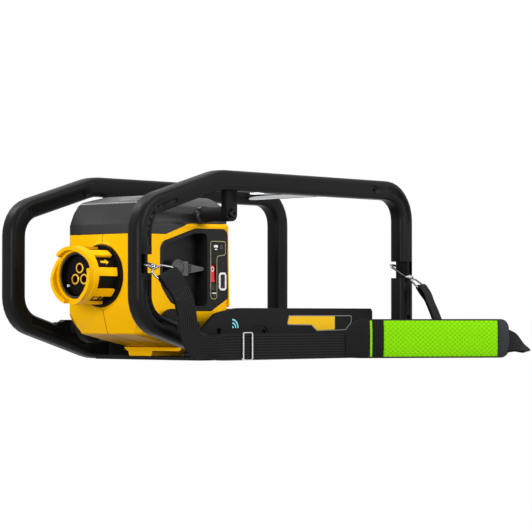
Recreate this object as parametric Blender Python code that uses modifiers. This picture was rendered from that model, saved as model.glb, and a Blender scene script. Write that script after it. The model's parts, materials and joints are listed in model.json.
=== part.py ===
"""Battery power unit for concrete tools: a housing with a twist-lock outlet, carried in two side frames.

Units are metres, +Z is up. X runs along the side frames with the outlet at -X. -Y is the operator's side,
with the controls and the shoulder strap. The origin lies on the ground under the middle of the tray.
"""

import math

import bmesh
import bpy
from mathutils import Matrix, Vector

# Side frames: outline of the moulded bar's outer edge, and the bar's section
FRAME_LENGTH = 0.620
FRAME_HEIGHT = 0.280
FRAME_SPACING = 0.268
BAR_DEPTH = 0.030
BAR_WIDTH = 0.028
BAR_ROUND = 0.008
KNEE_X = -0.138
SHOULDER_RISE = math.radians(16.5)
SHOULDER_ROUND = 0.045
KNEE_ROUND = 0.080
CORNER_ROUND = 0.047
GROOVE_CUTTER = 0.006
REAR_GROOVE = 0.009
FRONT_GROOVE = 0.007
INNER_GROOVE = 0.011
GROOVE_REACH = 0.052

# Housing block between the frames, and the line where the top cover meets it
HOUSING_FRONT_X = -0.240
HOUSING_REAR_X = -0.047
HOUSING_HALF_WIDTH = 0.074
HOUSING_BOTTOM_Z = 0.020
COVER_TOP_Z = 0.244
DOME_Z = 0.200
DOME_STEP = 0.003
SKID_FRONT_X = -0.135
PARTING_LOW_Z = 0.186
PARTING_HIGH_Z = 0.203
WALL = 0.0032

# Outlet: one axis along -X through the housing's front face
OUTLET_Z = 0.1246
FLANGE_RADIUS = 0.046
COLLAR_RADIUS = 0.043
COLLAR_FRONT = 0.056
COLLAR_REAR = 0.047
CONTACT_FRONT = 0.046
BORE_RADIUS = 0.0306
FINGER_COUNT = 8
FINGER_TIP = 0.010
LIP_COUNT = 3
LIP_INNER = 0.0368
LIP_OUTER = 0.0425
LIP_HEIGHT = 0.0098
LIP_START = math.radians(14)
LIP_LEVEL_TURN = math.radians(64)
LIP_TURN = math.radians(117)
CONTACT_CIRCLE = 0.0108
CONTACT_RADIUS = 0.008

# Lever, rocker switch and indicator on the operator's side
PANEL_FACE_Y = -0.0743
RECESS_FLOOR_Y = -0.050
LEVER_X = -0.150
LEVER_Z = 0.136
LEVER_REACH = 0.054
ROCKER_X = -0.0805
ROCKER_Y = -0.070
ROCKER_Z = 0.122
ROCKER_HALF_LENGTH = 0.0195
ROCKER_REST_TILT = math.radians(8)
INDICATOR_X = -0.062
INDICATOR_Z = 0.1175

# Battery tray
TRAY_END_X = 0.239
TRAY_ARM_X = -0.168
FAR_WALL_X = -0.112
TRAY_TOP_Z = 0.0775
TRAY_WALL = 0.0074
TRAY_FLOOR = 0.005
TRAY_BOLT_XS = (-0.060, 0.190)
TRAY_BOLT_Z = 0.015
TRAY_HOLES = ((-0.117, 0.043), (-0.017, 0.041))
TRAY_HOLE_RADIUS = 0.005
TRAY_POCKET = 0.0015

# Rubber isolators (x, z): each joins the housing to a lug on a side frame
TOP_ISOLATOR = (-0.102, 0.217)
BOTTOM_ISOLATOR = (-0.180, 0.0508)
ISOLATOR_RIM = 0.0115
ISOLATOR_WAIST = 0.0105
ISOLATOR_BORE_DEPTH = 0.024
TOP_BOSS_RADIUS = 0.013
BOTTOM_BOSS_RADIUS = 0.016
BOSS_START_Y = 0.045
TOP_BOSS_END_Y = 0.076
BOTTOM_BOSS_END_Y = 0.080
LUG_INNER_Y = 0.121
LUG_THICKNESS = 0.011
LUG_HALF_WIDTH = 0.0115
BOTTOM_LUG_TOP_Z = 0.0598
BOTTOM_FLANGE_RADIUS = 0.0255
BOTTOM_FLANGE_END = 0.098

# Polished cross rod between the top bars
ROD_X = 0.210
ROD_Z = 0.264
ROD_RADIUS = 0.007
ROD_TAPPING_DEPTH = 0.016

# Button-head bolts (head radius, head height, shank radius) and their seats in the bars
ROD_BOLT = (0.006, 0.004, 0.003)
TRAY_BOLT = (0.007, 0.005, 0.004)
ISOLATOR_BOLT = (0.007, 0.0045, 0.004)
BOLT_SEAT_DEPTH = 0.006
BOLT_END_CLEAR = 0.002

# Shoulder strap
WEB_WIDTH = 0.038
WEB_THICKNESS = 0.0024
WEB_RUN_Y = -0.162
WEB_RUN_Z = 0.0211
WEB_RUN_X = (-0.149, -0.136, -0.104, -0.072, -0.058)
SLIDER_X = -0.104
SLIDER_WIDTH = 0.022
SLIDER_RAIL = 0.0014
SLIDER_SIDE = 0.0026
SLIDER_SHEET = 0.0024
SLIDER_CLEAR = 0.0008
SLIDER_BAR_HALF = 0.0035
SLIDER_END_HALF = 0.005
PAD_START = (0.105, -0.176)
PAD_END = (0.320, -0.327)
PAD_HEIGHT = 0.060
PAD_THICKNESS = 0.012
PAD_TAPER = 0.042
PAD_EXIT_Z = 0.0265
PAD_BASE_Z = 0.0008
PAD_END_ROUND = 0.014
PAD_CROWN = 0.55
PAD_START_EASE = 0.030
HOOK_X = 0.292
HOOK_BACK_Y = -0.1165
HOOK_BACK_Z = 0.1475
HOOK_DROPS = {"front": math.radians(17), "rear": math.radians(29)}
HOOK_HALF_WIDTH = 0.008
HOOK_LENGTH = 0.040
HOOK_WIRE = 0.002
HOOK_GATE_END = 0.019
HOOK_GATE_WIRE = 0.0015
HOOK_BARREL_RADIUS = 0.0042
EYE_WIRE = 0.0016
EYE_CORNER = 0.004
NOTCH_Z = 0.1395
NOTCH_HEIGHT = 0.0265
POST_BACK_Y = -0.124
POCKET_SPAN = (0.005, 0.0315)
POST_SPAN = (0.013, 0.017)

GAP = 0.0004
SLOT_OVER = 0.002
HOLE_OVER = 0.003
ARC_STEP = math.radians(18)
HOOP_STEP = math.radians(12)

# Turns that lay a flat outline, drawn in x and y, into a plane, or a spun piece along an axis
FLAT = Matrix.Identity(4)
UPRIGHT = Matrix.Rotation(math.radians(90), 4, "X")
ACROSS = Matrix(((0, 0, 1, 0), (1, 0, 0, 0), (0, 1, 0, 0), (0, 0, 0, 1)))
TOWARDS_MINUS_X = Matrix.Rotation(math.radians(-90), 4, "Y")
TOWARDS_PLUS_Y = Matrix.Rotation(math.radians(-90), 4, "X")
TOWARDS_MINUS_Y = UPRIGHT
SIDES = ((-1, "near"), (1, "far"))

for old in list(bpy.data.objects):
    bpy.data.objects.remove(old, do_unlink=True)
PARTS = bpy.data.collections.new("Battery power unit")
CUTTERS = bpy.data.collections.new("Cutters and guides")
for group in (PARTS, CUTTERS):
    bpy.context.scene.collection.children.link(group)


# Materials

def srgb_to_linear(value):
    return value / 12.92 if value <= 0.04045 else ((value + 0.055) / 1.055) ** 2.4


def make_material(name, hex_colour, roughness, metallic=0.0):
    material = bpy.data.materials.new(name)
    material.use_nodes = True
    shader = material.node_tree.nodes["Principled BSDF"]
    channels = [int(hex_colour[i:i + 2], 16) / 255 for i in (0, 2, 4)]
    shader.inputs["Base Color"].default_value = (*map(srgb_to_linear, channels), 1.0)
    shader.inputs["Roughness"].default_value = roughness
    shader.inputs["Metallic"].default_value = metallic
    return material


FRAME_BLACK = make_material("frame black nylon", "222222", 0.5)
SHELL_YELLOW = make_material("housing yellow plastic", "fdb50f", 0.42)
COVER_GREY = make_material("cover dark grey plastic", "3c3c3c", 0.45)
PANEL_BLACK = make_material("panel black plastic", "1c1c1c", 0.5)
LEVER_GREY = make_material("lever grey plastic", "5e5e5e", 0.4)
SWITCH_RED = make_material("switch red plastic", "e8344a", 0.35)
BEZEL_WHITE = make_material("bezel white plastic", "e6e6e6", 0.4)
LENS_DARK = make_material("indicator dark lens", "101216", 0.15)
RUBBER = make_material("isolator rubber", "1a1a1a", 0.8)
STEEL = make_material("polished steel", "c9cacc", 0.2, 1.0)
BLACK_STEEL = make_material("blackened bolt steel", "2a2a2b", 0.4, 0.8)
CHROME = make_material("chrome", "d8dadc", 0.1, 1.0)
BRASS = make_material("contact brass", "c99a3c", 0.3, 1.0)
WEBBING = make_material("black webbing", "2b2b2b", 0.85)
PAD_LIME = make_material("pad lime mesh", "97f000", 0.8)
BOARD_GREEN = make_material("circuit board", "1f5a36", 0.5)
ALUMINIUM = make_material("heat sink aluminium", "a9acb0", 0.4, 1.0)
CAPACITOR_BLUE = make_material("capacitor sleeve", "243a66", 0.45)
LEAD_RED = make_material("lead insulation", "a3231f", 0.5)


# Outlines and solids

def fillet(corners, closed=True, step=ARC_STEP):
    """Points of an outline through corners (x, y, radius), each corner rounded by an arc of its radius."""
    points = []
    last = len(corners) - 1
    for index, (x, y, radius) in enumerate(corners):
        corner = Vector((x, y))
        if radius == 0 or (not closed and index in (0, last)):
            points.append(corner)
            continue
        before = (Vector(corners[index - 1][:2]) - corner).normalized()
        after = (Vector(corners[(index + 1) % (last + 1)][:2]) - corner).normalized()
        half_angle = before.angle(after) / 2
        centre = corner + (before + after).normalized() * radius / math.sin(half_angle)
        arm = corner + before * radius / math.tan(half_angle) - centre
        turn = math.pi - 2 * half_angle
        steps = max(1, math.ceil(turn / step))
        sense = 1 if (-before).cross(after) > 0 else -1
        for k in range(steps + 1):
            spoke = arm.copy()
            spoke.rotate(Matrix.Rotation(sense * turn * k / steps, 2))
            points.append(centre + spoke)
    return points


def inset(corners, distance):
    """The closed outline's corners moved inwards by a distance, with their radii following."""
    area = sum(a[0] * b[1] - b[0] * a[1] for a, b in zip(corners, corners[1:] + corners[:1]))
    sense = 1 if area > 0 else -1
    moved = []
    for index, (x, y, radius) in enumerate(corners):
        corner = Vector((x, y))
        arriving = (corner - Vector(corners[index - 1][:2])).normalized()
        leaving = (Vector(corners[(index + 1) % len(corners)][:2]) - corner).normalized()
        inward = Vector((-arriving.y - leaving.y, arriving.x + leaving.x)).normalized() * sense
        shift = distance / inward.dot(Vector((-arriving.y, arriving.x)) * sense)
        bend = sense * arriving.cross(leaving)
        new_radius = max(0.0005, radius - distance * (1 if bend > 0 else -1)) if radius else 0
        moved.append((*(corner + inward * shift), new_radius))
    return moved


def rectangle(width, height, radius, centre=(0, 0)):
    """Corners of a rounded rectangle."""
    x, y = centre
    signs = ((-1, -1), (1, -1), (1, 1), (-1, 1))
    return [(x + sx * width / 2, y + sy * height / 2, radius) for sx, sy in signs]


def circle(radius, sides, centre=(0, 0)):
    """Points of a circle."""
    angles = [2 * math.pi * k / sides for k in range(sides)]
    return [Vector((centre[0] + radius * math.cos(a), centre[1] + radius * math.sin(a))) for a in angles]


def add_object(name, data, matrix, material):
    """A new object in the parts, or among the cutters when it has no material."""
    obj = bpy.data.objects.new(name, data)
    obj.matrix_world = matrix
    if material is None:
        CUTTERS.objects.link(obj)
        obj.hide_render = True
        obj.display_type = "WIRE"
    else:
        PARTS.objects.link(obj)
        data.materials.append(material)
    return obj


def curve_to_solid(name, curve, matrix, material):
    """The mesh that a curve sweeps or fills, with its caps welded on and its faces pointing out."""
    guide = bpy.data.objects.new(name + " guide", curve)
    CUTTERS.objects.link(guide)
    bpy.context.view_layer.update()
    graph = bpy.context.evaluated_depsgraph_get()
    mesh = bpy.data.meshes.new_from_object(guide.evaluated_get(graph))
    bpy.data.objects.remove(guide)
    shape = bmesh.new()
    shape.from_mesh(mesh)
    bmesh.ops.remove_doubles(shape, verts=shape.verts, dist=0.000002)
    bmesh.ops.recalc_face_normals(shape, faces=shape.faces)
    shape.to_mesh(mesh)
    shape.free()
    mesh.name = name
    mesh.shade_smooth()
    mesh.set_sharp_from_angle(angle=math.radians(35))
    return add_object(name, mesh, matrix, material)


def poly_spline(curve, points, closed):
    """Adds a spline of straight runs through the points to a curve."""
    spline = curve.splines.new("POLY")
    spline.points.add(len(points) - 1)
    for knot, point in zip(spline.points, points):
        knot.co = (*point, *(0,) * (3 - len(point)), 1)
    spline.use_cyclic_u = closed
    return spline


def plate(name, outlines, low, high, plane, material=None, at=(0, 0, 0)):
    """Flat outlines, of which the later ones may be holes, extruded from low to high across their plane."""
    curve = bpy.data.curves.new(name, "CURVE")
    curve.dimensions = "2D"
    curve.fill_mode = "BOTH"
    curve.extrude = abs(high - low) / 2
    for points in outlines:
        poly_spline(curve, points, True)
    middle = (low + high) / 2
    depth = -middle if plane is UPRIGHT else middle
    matrix = Matrix.Translation(at) @ plane @ Matrix.Translation((0, 0, depth))
    return curve_to_solid(name, curve, matrix, material)


def block(name, low, high, material=None, round_edges=0.0):
    """A box between two corners, with its edges rounded by a Bevel where a radius is given."""
    size = Vector(high) - Vector(low)
    mesh = bpy.data.meshes.new(name)
    shape = bmesh.new()
    bmesh.ops.create_cube(shape, size=1.0, matrix=Matrix.Diagonal((*size, 1)))
    shape.to_mesh(mesh)
    shape.free()
    box = add_object(name, mesh, Matrix.Translation((Vector(low) + Vector(high)) / 2), material)
    if round_edges:
        bevel = box.modifiers.new("rounded edges", "BEVEL")
        bevel.width = round_edges
        bevel.segments = 2
    return box


def cylinder(name, radius, low, high, axis, at, sides=24, material=None):
    """A cylinder from low to high along an axis turn, about the point given."""
    mesh = bpy.data.meshes.new(name)
    shape = bmesh.new()
    bmesh.ops.create_cone(
        shape, cap_ends=True, segments=sides, radius1=radius, radius2=radius, depth=high - low,
        matrix=Matrix.Translation((0, 0, (low + high) / 2)),
    )
    shape.to_mesh(mesh)
    shape.free()
    mesh.shade_smooth()
    mesh.set_sharp_from_angle(angle=math.radians(35))
    return add_object(name, mesh, Matrix.Translation(at) @ axis, material)


def turned(name, profile, axis, at, steps=24, material=None, ring=False):
    """A profile of (radius, height) points spun about its axis; a ring's profile closes on itself."""
    mesh = bpy.data.meshes.new(name)
    count = len(profile)
    edges = [(k, (k + 1) % count) for k in range(count if ring else count - 1)]
    mesh.from_pydata([(radius, 0, height) for radius, height in profile], edges, [])
    obj = add_object(name, mesh, Matrix.Translation(at) @ axis, material)
    screw = obj.modifiers.new("spin", "SCREW")
    screw.steps = steps
    screw.render_steps = steps
    screw.use_merge_vertices = True
    screw.merge_threshold = 0.00001
    return obj


def boolean(target, operation, *tools):
    """Cuts, joins or intersects the target with each tool in turn."""
    for tool in tools:
        modifier = target.modifiers.new(tool.name, "BOOLEAN")
        modifier.operation = operation
        modifier.object = tool
        modifier.solver = "EXACT"
    return target


def outward(side):
    """The turn that lays a spun piece along Y, away from the middle."""
    return TOWARDS_PLUS_Y if side > 0 else TOWARDS_MINUS_Y


def cut(target, *tools):
    return boolean(target, "DIFFERENCE", *tools)


def join(target, *tools):
    return boolean(target, "UNION", *tools)


def tube(name, points, radius, material, closed=False, resolution=2):
    """A round wire along points."""
    curve = bpy.data.curves.new(name, "CURVE")
    curve.dimensions = "3D"
    curve.bevel_depth = radius
    curve.bevel_resolution = resolution
    curve.use_fill_caps = not closed
    poly_spline(curve, points, closed)
    return curve_to_solid(name, curve, Matrix.Identity(4), material)


def smooth(points, per_span):
    """A smooth curve through vectors: the slope at each point follows its two neighbours."""
    ends = [points[0] * 2 - points[1], *points, points[-1] * 2 - points[-2]]
    found = []
    for a, b, c, d in zip(ends, ends[1:], ends[2:], ends[3:]):
        for k in range(per_span):
            t = k / per_span
            slope_b = (c - a) / 2
            slope_c = (d - b) / 2
            found.append(
                b * (2 * t**3 - 3 * t**2 + 1) + slope_b * (t**3 - 2 * t**2 + t)
                + c * (3 * t**2 - 2 * t**3) + slope_c * (t**3 - t**2)
            )
    return [*found, points[-1]]


# Side frames

def frame_line(offset=0.0):
    """Corners of the bar's centre line in x and z, moved outwards by an offset."""
    half = BAR_DEPTH / 2
    left, right = -FRAME_LENGTH / 2 + half, FRAME_LENGTH / 2 - half
    bottom, top = half, FRAME_HEIGHT - half
    drop = math.tan(SHOULDER_RISE) * (KNEE_X - left)
    corners = [
        (left, bottom + drop, SHOULDER_ROUND),
        (KNEE_X, bottom, KNEE_ROUND),
        (right, bottom, CORNER_ROUND),
        (right, top, CORNER_ROUND),
        (KNEE_X, top, KNEE_ROUND),
        (left, top - drop, SHOULDER_ROUND),
    ]
    return inset(corners, -offset) if offset else corners


def sweep(name, points, section, closed, matrix, material=None):
    """A section (x across the path, y out of its plane) carried along a flat path."""
    profile = bpy.data.curves.new(name + " section", "CURVE")
    profile.dimensions = "2D"
    profile.fill_mode = "NONE"
    poly_spline(profile, section, True)
    profile_guide = bpy.data.objects.new(name + " section", profile)
    CUTTERS.objects.link(profile_guide)
    curve = bpy.data.curves.new(name, "CURVE")
    curve.dimensions = "2D"
    curve.fill_mode = "NONE"
    curve.bevel_mode = "OBJECT"
    curve.bevel_object = profile_guide
    curve.use_fill_caps = not closed
    poly_spline(curve, points, closed)
    solid = curve_to_solid(name, curve, matrix, material)
    bpy.data.objects.remove(profile_guide)
    return solid


def frame_lug(name, corners, side):
    """A lug that reaches from the bar to an isolator's bolt."""
    low, high = sorted((side * LUG_INNER_Y, side * (LUG_INNER_Y + LUG_THICKNESS)))
    return plate(name, [fillet(corners)], low, high, UPRIGHT)


def frame_lugs(name, side):
    """The straight lug under the top bar and the low gusset on the bottom bar."""
    half = LUG_HALF_WIDTH
    x, z = TOP_ISOLATOR
    root_z = FRAME_HEIGHT - 0.018
    top = [(x - half, root_z, 0), (x - half, z - half, half * 0.9), (x + half, z - half, half * 0.9)]
    top.append((x + half, root_z, 0))
    x, root_z = BOTTOM_ISOLATOR[0], 0.034
    end = x + 0.0092
    bottom = [
        (x - 0.034, root_z, 0), (x - 0.041, 0.0500, 0), (x - 0.037, 0.0563, 0.003),
        (x - 0.027, 0.0567, 0.002), (x - 0.022, BOTTOM_LUG_TOP_Z, 0.003),
        (end, BOTTOM_LUG_TOP_Z, 0.0085), (end, root_z, 0),
    ]
    return frame_lug(name + " top lug", top, side), frame_lug(name + " bottom lug", bottom, side)


def frame_groove(name, corners, side_y, width):
    """A shallow channel along part of the bar, on the face at side_y."""
    matrix = Matrix.Translation((0, side_y, 0)) @ UPRIGHT
    section = fillet(rectangle(width, GROOVE_CUTTER, 0))
    return sweep(name, fillet(corners, closed=False), section, False, matrix)


def frame_grooves(name, side):
    """Channels moulded into the bar's outer face at its corners and its inner face along the shoulders."""
    outer_y = side * (FRAME_SPACING + BAR_WIDTH) / 2
    inner_y = side * (FRAME_SPACING - BAR_WIDTH) / 2
    shoulder_low, knee_low, _, _, knee_high, shoulder_high = frame_line(-0.005)
    right_low, right_high = frame_line()[2:4]
    channels = []
    for label, corner, along in (("low", right_low, 1), ("high", right_high, -1)):
        x, z, _ = corner
        ends = [(x - GROOVE_REACH, z, 0), corner, (x, z + along * GROOVE_REACH, 0)]
        channels.append(frame_groove(f"{name} rear {label} channel", ends, outer_y, REAR_GROOVE))
    for label, shoulder, knee, along in (
        ("low", shoulder_low, knee_low, 1), ("high", shoulder_high, knee_high, -1)
    ):
        lean = (Vector(knee[:2]) - Vector(shoulder[:2])).normalized()
        far = Vector(shoulder[:2]) + lean * 0.060
        ends = [(shoulder[0], shoulder[1] + along * 0.050, 0), shoulder, (*far, 0)]
        channels.append(frame_groove(f"{name} front {label} channel", ends, outer_y, FRONT_GROOVE))
        near_end, far_end = (Vector(shoulder[:2]) + lean * distance for distance in (0.020, 0.135))
        run = [(*near_end, 0), (*far_end, 0)]
        channels.append(frame_groove(f"{name} inner {label} channel", run, inner_y, INNER_GROOVE))
    return channels


def strap_post_cutter(name, side_x):
    """The pocket that leaves a narrow post in the near frame's upright, for a strap hook to close round."""
    def across(distance):
        return side_x * (FRAME_LENGTH / 2 - distance)

    outer_y = -(FRAME_SPACING + BAR_WIDTH) / 2 - SLOT_OVER
    inner_y = -(FRAME_SPACING - BAR_WIDTH) / 2 + SLOT_OVER
    pocket_out, pocket_in = (across(distance) for distance in POCKET_SPAN)
    post_out, post_in = (across(distance) for distance in POST_SPAN)
    outline = [
        Vector((pocket_out, outer_y)), Vector((post_out, outer_y)), Vector((post_out, POST_BACK_Y)),
        Vector((post_in, POST_BACK_Y)), Vector((post_in, outer_y)), Vector((pocket_in, outer_y)),
        Vector((pocket_in, inner_y)), Vector((pocket_out, inner_y)),
    ]
    return plate(name, [outline], NOTCH_Z - NOTCH_HEIGHT / 2, NOTCH_Z + NOTCH_HEIGHT / 2, FLAT)


def bolt_seat(name, x, z, side, size):
    """Cutters for a bolt through a frame's bar: a clearance hole and a counterbore in the outer face."""
    axis, at = outward(side), (x, 0, z)
    head, _, shank = (length + GAP for length in size)
    inner = (FRAME_SPACING - BAR_WIDTH) / 2
    outer = (FRAME_SPACING + BAR_WIDTH) / 2
    hole = cylinder(name + " hole", shank, inner - HOLE_OVER, outer + HOLE_OVER, axis, at, 12)
    floor = outer - BOLT_SEAT_DEPTH
    counterbore = cylinder(name + " counterbore", head, floor, outer + HOLE_OVER, axis, at, 16)
    return hole, counterbore


def side_frame(name, side):
    """One moulded hoop with its isolator lugs, channels and bolt seats."""
    section = fillet(rectangle(BAR_DEPTH, BAR_WIDTH, BAR_ROUND), step=math.radians(31))
    matrix = Matrix.Translation((0, side * FRAME_SPACING / 2, 0)) @ UPRIGHT
    hoop = sweep(name, fillet(frame_line(), step=HOOP_STEP), section, True, matrix, FRAME_BLACK)
    join(hoop, *frame_lugs(name, side))
    cut(hoop, *frame_grooves(name, side))
    cut(hoop, *bolt_seat(name + " rod bolt", ROD_X, ROD_Z, side, ROD_BOLT))
    for x in TRAY_BOLT_XS:
        cut(hoop, *bolt_seat(f"{name} tray bolt {x}", x, TRAY_BOLT_Z, side, TRAY_BOLT))
    hole_radius = ISOLATOR_BOLT[2] + GAP
    for x, z in (TOP_ISOLATOR, BOTTOM_ISOLATOR):
        hole = f"{name} lug hole {x}"
        cut(hoop, cylinder(hole, hole_radius, 0.110, 0.140, outward(side), (x, 0, z), 12))
    if side < 0:
        cut(hoop, strap_post_cutter(name + " front notch", -1), strap_post_cutter(name + " rear notch", 1))


def bolt(name, x, z, side, size, head_face, shank_end):
    """A button-head bolt along Y: its head stands on head_face and its shank reaches in to shank_end."""
    head_radius, head_height, shank_radius = size
    top = head_face + head_height
    profile = [
        (0, top), (head_radius * 0.75, top), (head_radius, top - head_height * 0.45),
        (head_radius, head_face), (shank_radius, head_face), (shank_radius, shank_end), (0, shank_end),
    ]
    turned(name, profile, outward(side), (x, 0, z), 12, BLACK_STEEL)


def cross_rod():
    """The polished rod that ties the two top bars, tapped at both ends for its bolts."""
    half = (FRAME_SPACING - BAR_WIDTH) / 2 - GAP
    at = (ROD_X, 0, ROD_Z)
    rod = cylinder("cross_rod", ROD_RADIUS, -half, half, TOWARDS_PLUS_Y, at, 24, STEEL)
    floor = half - ROD_TAPPING_DEPTH
    tapping = ROD_BOLT[2] + GAP
    face = (FRAME_SPACING + BAR_WIDTH) / 2 - BOLT_SEAT_DEPTH + GAP
    for side, label in SIDES:
        cut(rod, cylinder(f"rod {label} tapping", tapping, floor, half + HOLE_OVER, outward(side), at, 12))
        bolt(f"{label}_rod_bolt", ROD_X, ROD_Z, side, ROD_BOLT, face, floor + BOLT_END_CLEAR)


def isolators():
    """Rubber isolators with their bolts, between the housing's bosses and the frames' lugs."""
    end = LUG_INNER_Y - GAP
    rim, waist = ISOLATOR_RIM, ISOLATOR_WAIST
    bore, bore_end = ISOLATOR_BOLT[2] + GAP, end - ISOLATOR_BORE_DEPTH
    start = TOP_BOSS_END_Y + GAP
    barrel = [(rim, end), (rim + 0.0005, end - 0.002), (waist, (start + end) / 2)]
    barrel += [(rim + 0.0005, start + 0.002), (rim, start), (0, start)]
    foot = BOTTOM_BOSS_END_Y + GAP
    flange, flange_end = BOTTOM_FLANGE_RADIUS, BOTTOM_FLANGE_END
    cup = [(rim, end), (waist, flange_end + 0.004), (flange - 0.004, flange_end)]
    cup += [(flange, flange_end - 0.003), (flange, foot + 0.002), (flange - 0.001, foot), (0, foot)]
    for side, label in SIDES:
        for level, (x, z), outside in (("top", TOP_ISOLATOR, barrel), ("bottom", BOTTOM_ISOLATOR, cup)):
            profile = [(bore, end), *outside, (0, bore_end), (bore, bore_end)]
            turned(f"{label}_{level}_isolator", profile, outward(side), (x, 0, z), 20, RUBBER, ring=True)
            face = LUG_INNER_Y + LUG_THICKNESS + GAP
            name = f"{label}_{level}_isolator_bolt"
            bolt(name, x, z, side, ISOLATOR_BOLT, face, bore_end + BOLT_END_CLEAR)


# Housing

def hull(name, wall):
    """The housing block, or its hollow where a wall is given: what three views of it have in common."""
    front, rear, half = HOUSING_FRONT_X, HOUSING_REAR_X, HOUSING_HALF_WIDTH
    bottom, top = HOUSING_BOTTOM_Z, COVER_TOP_Z
    dome = half - DOME_STEP
    end_view = [(-half, 0.0600, 0.030), (-0.0555, 0.0415, 0.012), (-0.054, bottom, 0.008)]
    end_view = end_view + [(-y, z, r) for y, z, r in reversed(end_view)]
    end_view += [
        (half, DOME_Z, 0.001), (dome, DOME_Z + 0.001, 0), (dome, top + 0.002, 0.041),
        (-dome, top + 0.002, 0.041), (-dome, DOME_Z + 0.001, 0), (-half, DOME_Z, 0.001),
    ]
    side_view = [
        (front, 0.078, 0.040), (front + 0.011, 0.039, 0.004), (SKID_FRONT_X, bottom - 0.001, 0.008),
        (rear, bottom - 0.001, 0.006), (rear, top - 0.016, 0.006), (rear - 0.013, top, 0.008),
        (front + 0.052, top, 0.030), (front + 0.012, top - 0.010, 0.008), (front, 0.196, 0.030),
    ]
    plan = [(front, -half, 0.006), (rear, -half, 0.008), (rear, half, 0.008), (front, half, 0.006)]
    if wall:
        end_view, side_view, plan = (inset(corners, wall) for corners in (end_view, side_view, plan))
    solid = plate(name, [fillet(end_view)], front - 0.02, rear + 0.02, ACROSS)
    side = plate(name + " side view", [fillet(side_view)], -half - 0.02, half + 0.02, UPRIGHT)
    above = plate(name + " plan", [fillet(plan)], 0.0, top + 0.02, FLAT)
    return boolean(solid, "INTERSECT", side, above)


def parting_outline(gap, closing_z):
    """The line where the cover meets the housing, closed at the height given."""
    low, high = PARTING_LOW_Z + gap, PARTING_HIGH_Z + gap
    return fillet([
        (-0.270, low, 0), (-0.182, low, 0.014), (-0.131, high, 0.014), (-0.020, high + 0.002, 0),
        (-0.020, closing_z, 0), (-0.270, closing_z, 0),
    ])


def panel_outline(margin):
    """Corners of the black control panel in x and z, grown by a margin."""
    corners = [
        (-0.194, 0.1735, 0.015), (-0.194, 0.112, 0.025), (-0.172, 0.085, 0.020), (-0.130, 0.073, 0.010),
        (-0.085, 0.073, 0.008), (-0.0495, 0.092, 0.006), (-0.0495, 0.1965, 0.011), (-0.1205, 0.1955, 0.012),
    ]
    return fillet(inset(corners, -margin) if margin else corners)


def recess_outline(margin):
    """Corners of the finger recess round the lever, grown by a margin."""
    corners = [
        (-0.189, 0.1690, 0.012), (-0.189, 0.114, 0.020), (-0.170, 0.092, 0.018), (-0.140, 0.080, 0.014),
        (-0.094, 0.080, 0.008), (-0.094, 0.1890, 0.008), (-0.122, 0.1885, 0.012),
    ]
    return fillet(inset(corners, -margin) if margin else corners)


def housing():
    """The two clamshell halves and the top cover: one hull, hollowed and parted."""
    outside = hull("housing hull", 0)
    hollow = hull("housing hollow", WALL)
    front = HOUSING_FRONT_X
    outlet = (front, 0, OUTLET_Z)
    rim = turned(
        "outlet rim", [(0.0466, 0.0025), (0.0490, 0.0025), (0.0500, -0.002), (0.0466, -0.002)],
        TOWARDS_MINUS_X, outlet, 40, ring=True,
    )
    outlet_hole = cylinder("outlet hole", 0.0335, -0.010, 0.010, TOWARDS_MINUS_X, outlet, 32)
    terminal_hole = block("terminal opening", (-0.056, -0.0384, 0.0456), (-0.036, 0.0384, 0.0804))
    panel_hole = plate("panel opening", [panel_outline(GAP)], -0.090, -0.060, UPRIGHT)
    half_gap = GAP / 2
    lower_part = parting_outline(-half_gap, 0.0)
    rim_reach = fillet(rectangle(0.1, 0.12, 0, (front, OUTLET_Z)))
    for side, label in SIDES:
        low, high = sorted((side * half_gap, side * 0.100))
        half = plate(f"housing_{label}_half", [lower_part], low, high, UPRIGHT, SHELL_YELLOW)
        boolean(half, "INTERSECT", outside)
        cut(half, hollow)
        x, z = BOTTOM_ISOLATOR
        boss = cylinder(
            f"{label} bottom boss", BOTTOM_BOSS_RADIUS, BOSS_START_Y, BOTTOM_BOSS_END_Y,
            outward(side), (x, 0, z), 20,
        )
        rim_half = plate(f"{label} rim half", [rim_reach], low, high, UPRIGHT)
        boolean(rim_half, "INTERSECT", rim)
        join(half, boss, rim_half)
        cut(half, outlet_hole, terminal_hole)
        if side < 0:
            cut(half, panel_hole)
    cover = plate("top_cover", [parting_outline(half_gap, 0.270)], -0.100, 0.100, UPRIGHT, COVER_GREY)
    boolean(cover, "INTERSECT", outside)
    cut(cover, hollow)
    x, z = TOP_ISOLATOR
    for side, label in SIDES:
        join(cover, cylinder(
            f"{label} top boss", TOP_BOSS_RADIUS, BOSS_START_Y, TOP_BOSS_END_Y, outward(side), (x, 0, z), 20
        ))


def skid_foot():
    """The yellow lip under the housing with its narrower foot, standing on the tray's floor."""
    top = HOUSING_BOTTOM_Z - 0.001 - GAP
    rear = -0.055
    half = 0.062
    lip_corners = [(-half, top, 0), (half, top, 0), (half - 0.006, 0.0130, 0), (0.006 - half, 0.0130, 0)]
    lip = plate("skid_foot", [fillet(lip_corners)], SKID_FRONT_X, rear, ACROSS, SHELL_YELLOW)
    floor = TRAY_FLOOR + GAP
    foot_corners = [(0.001, 0.0140, 0), (0.004, floor, 0), (0.051, floor, 0), (0.054, 0.0140, 0)]
    join(lip, plate("foot block", [fillet(foot_corners)], SKID_FRONT_X + 0.0005, rear - 0.010, ACROSS))


# Controls

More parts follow.
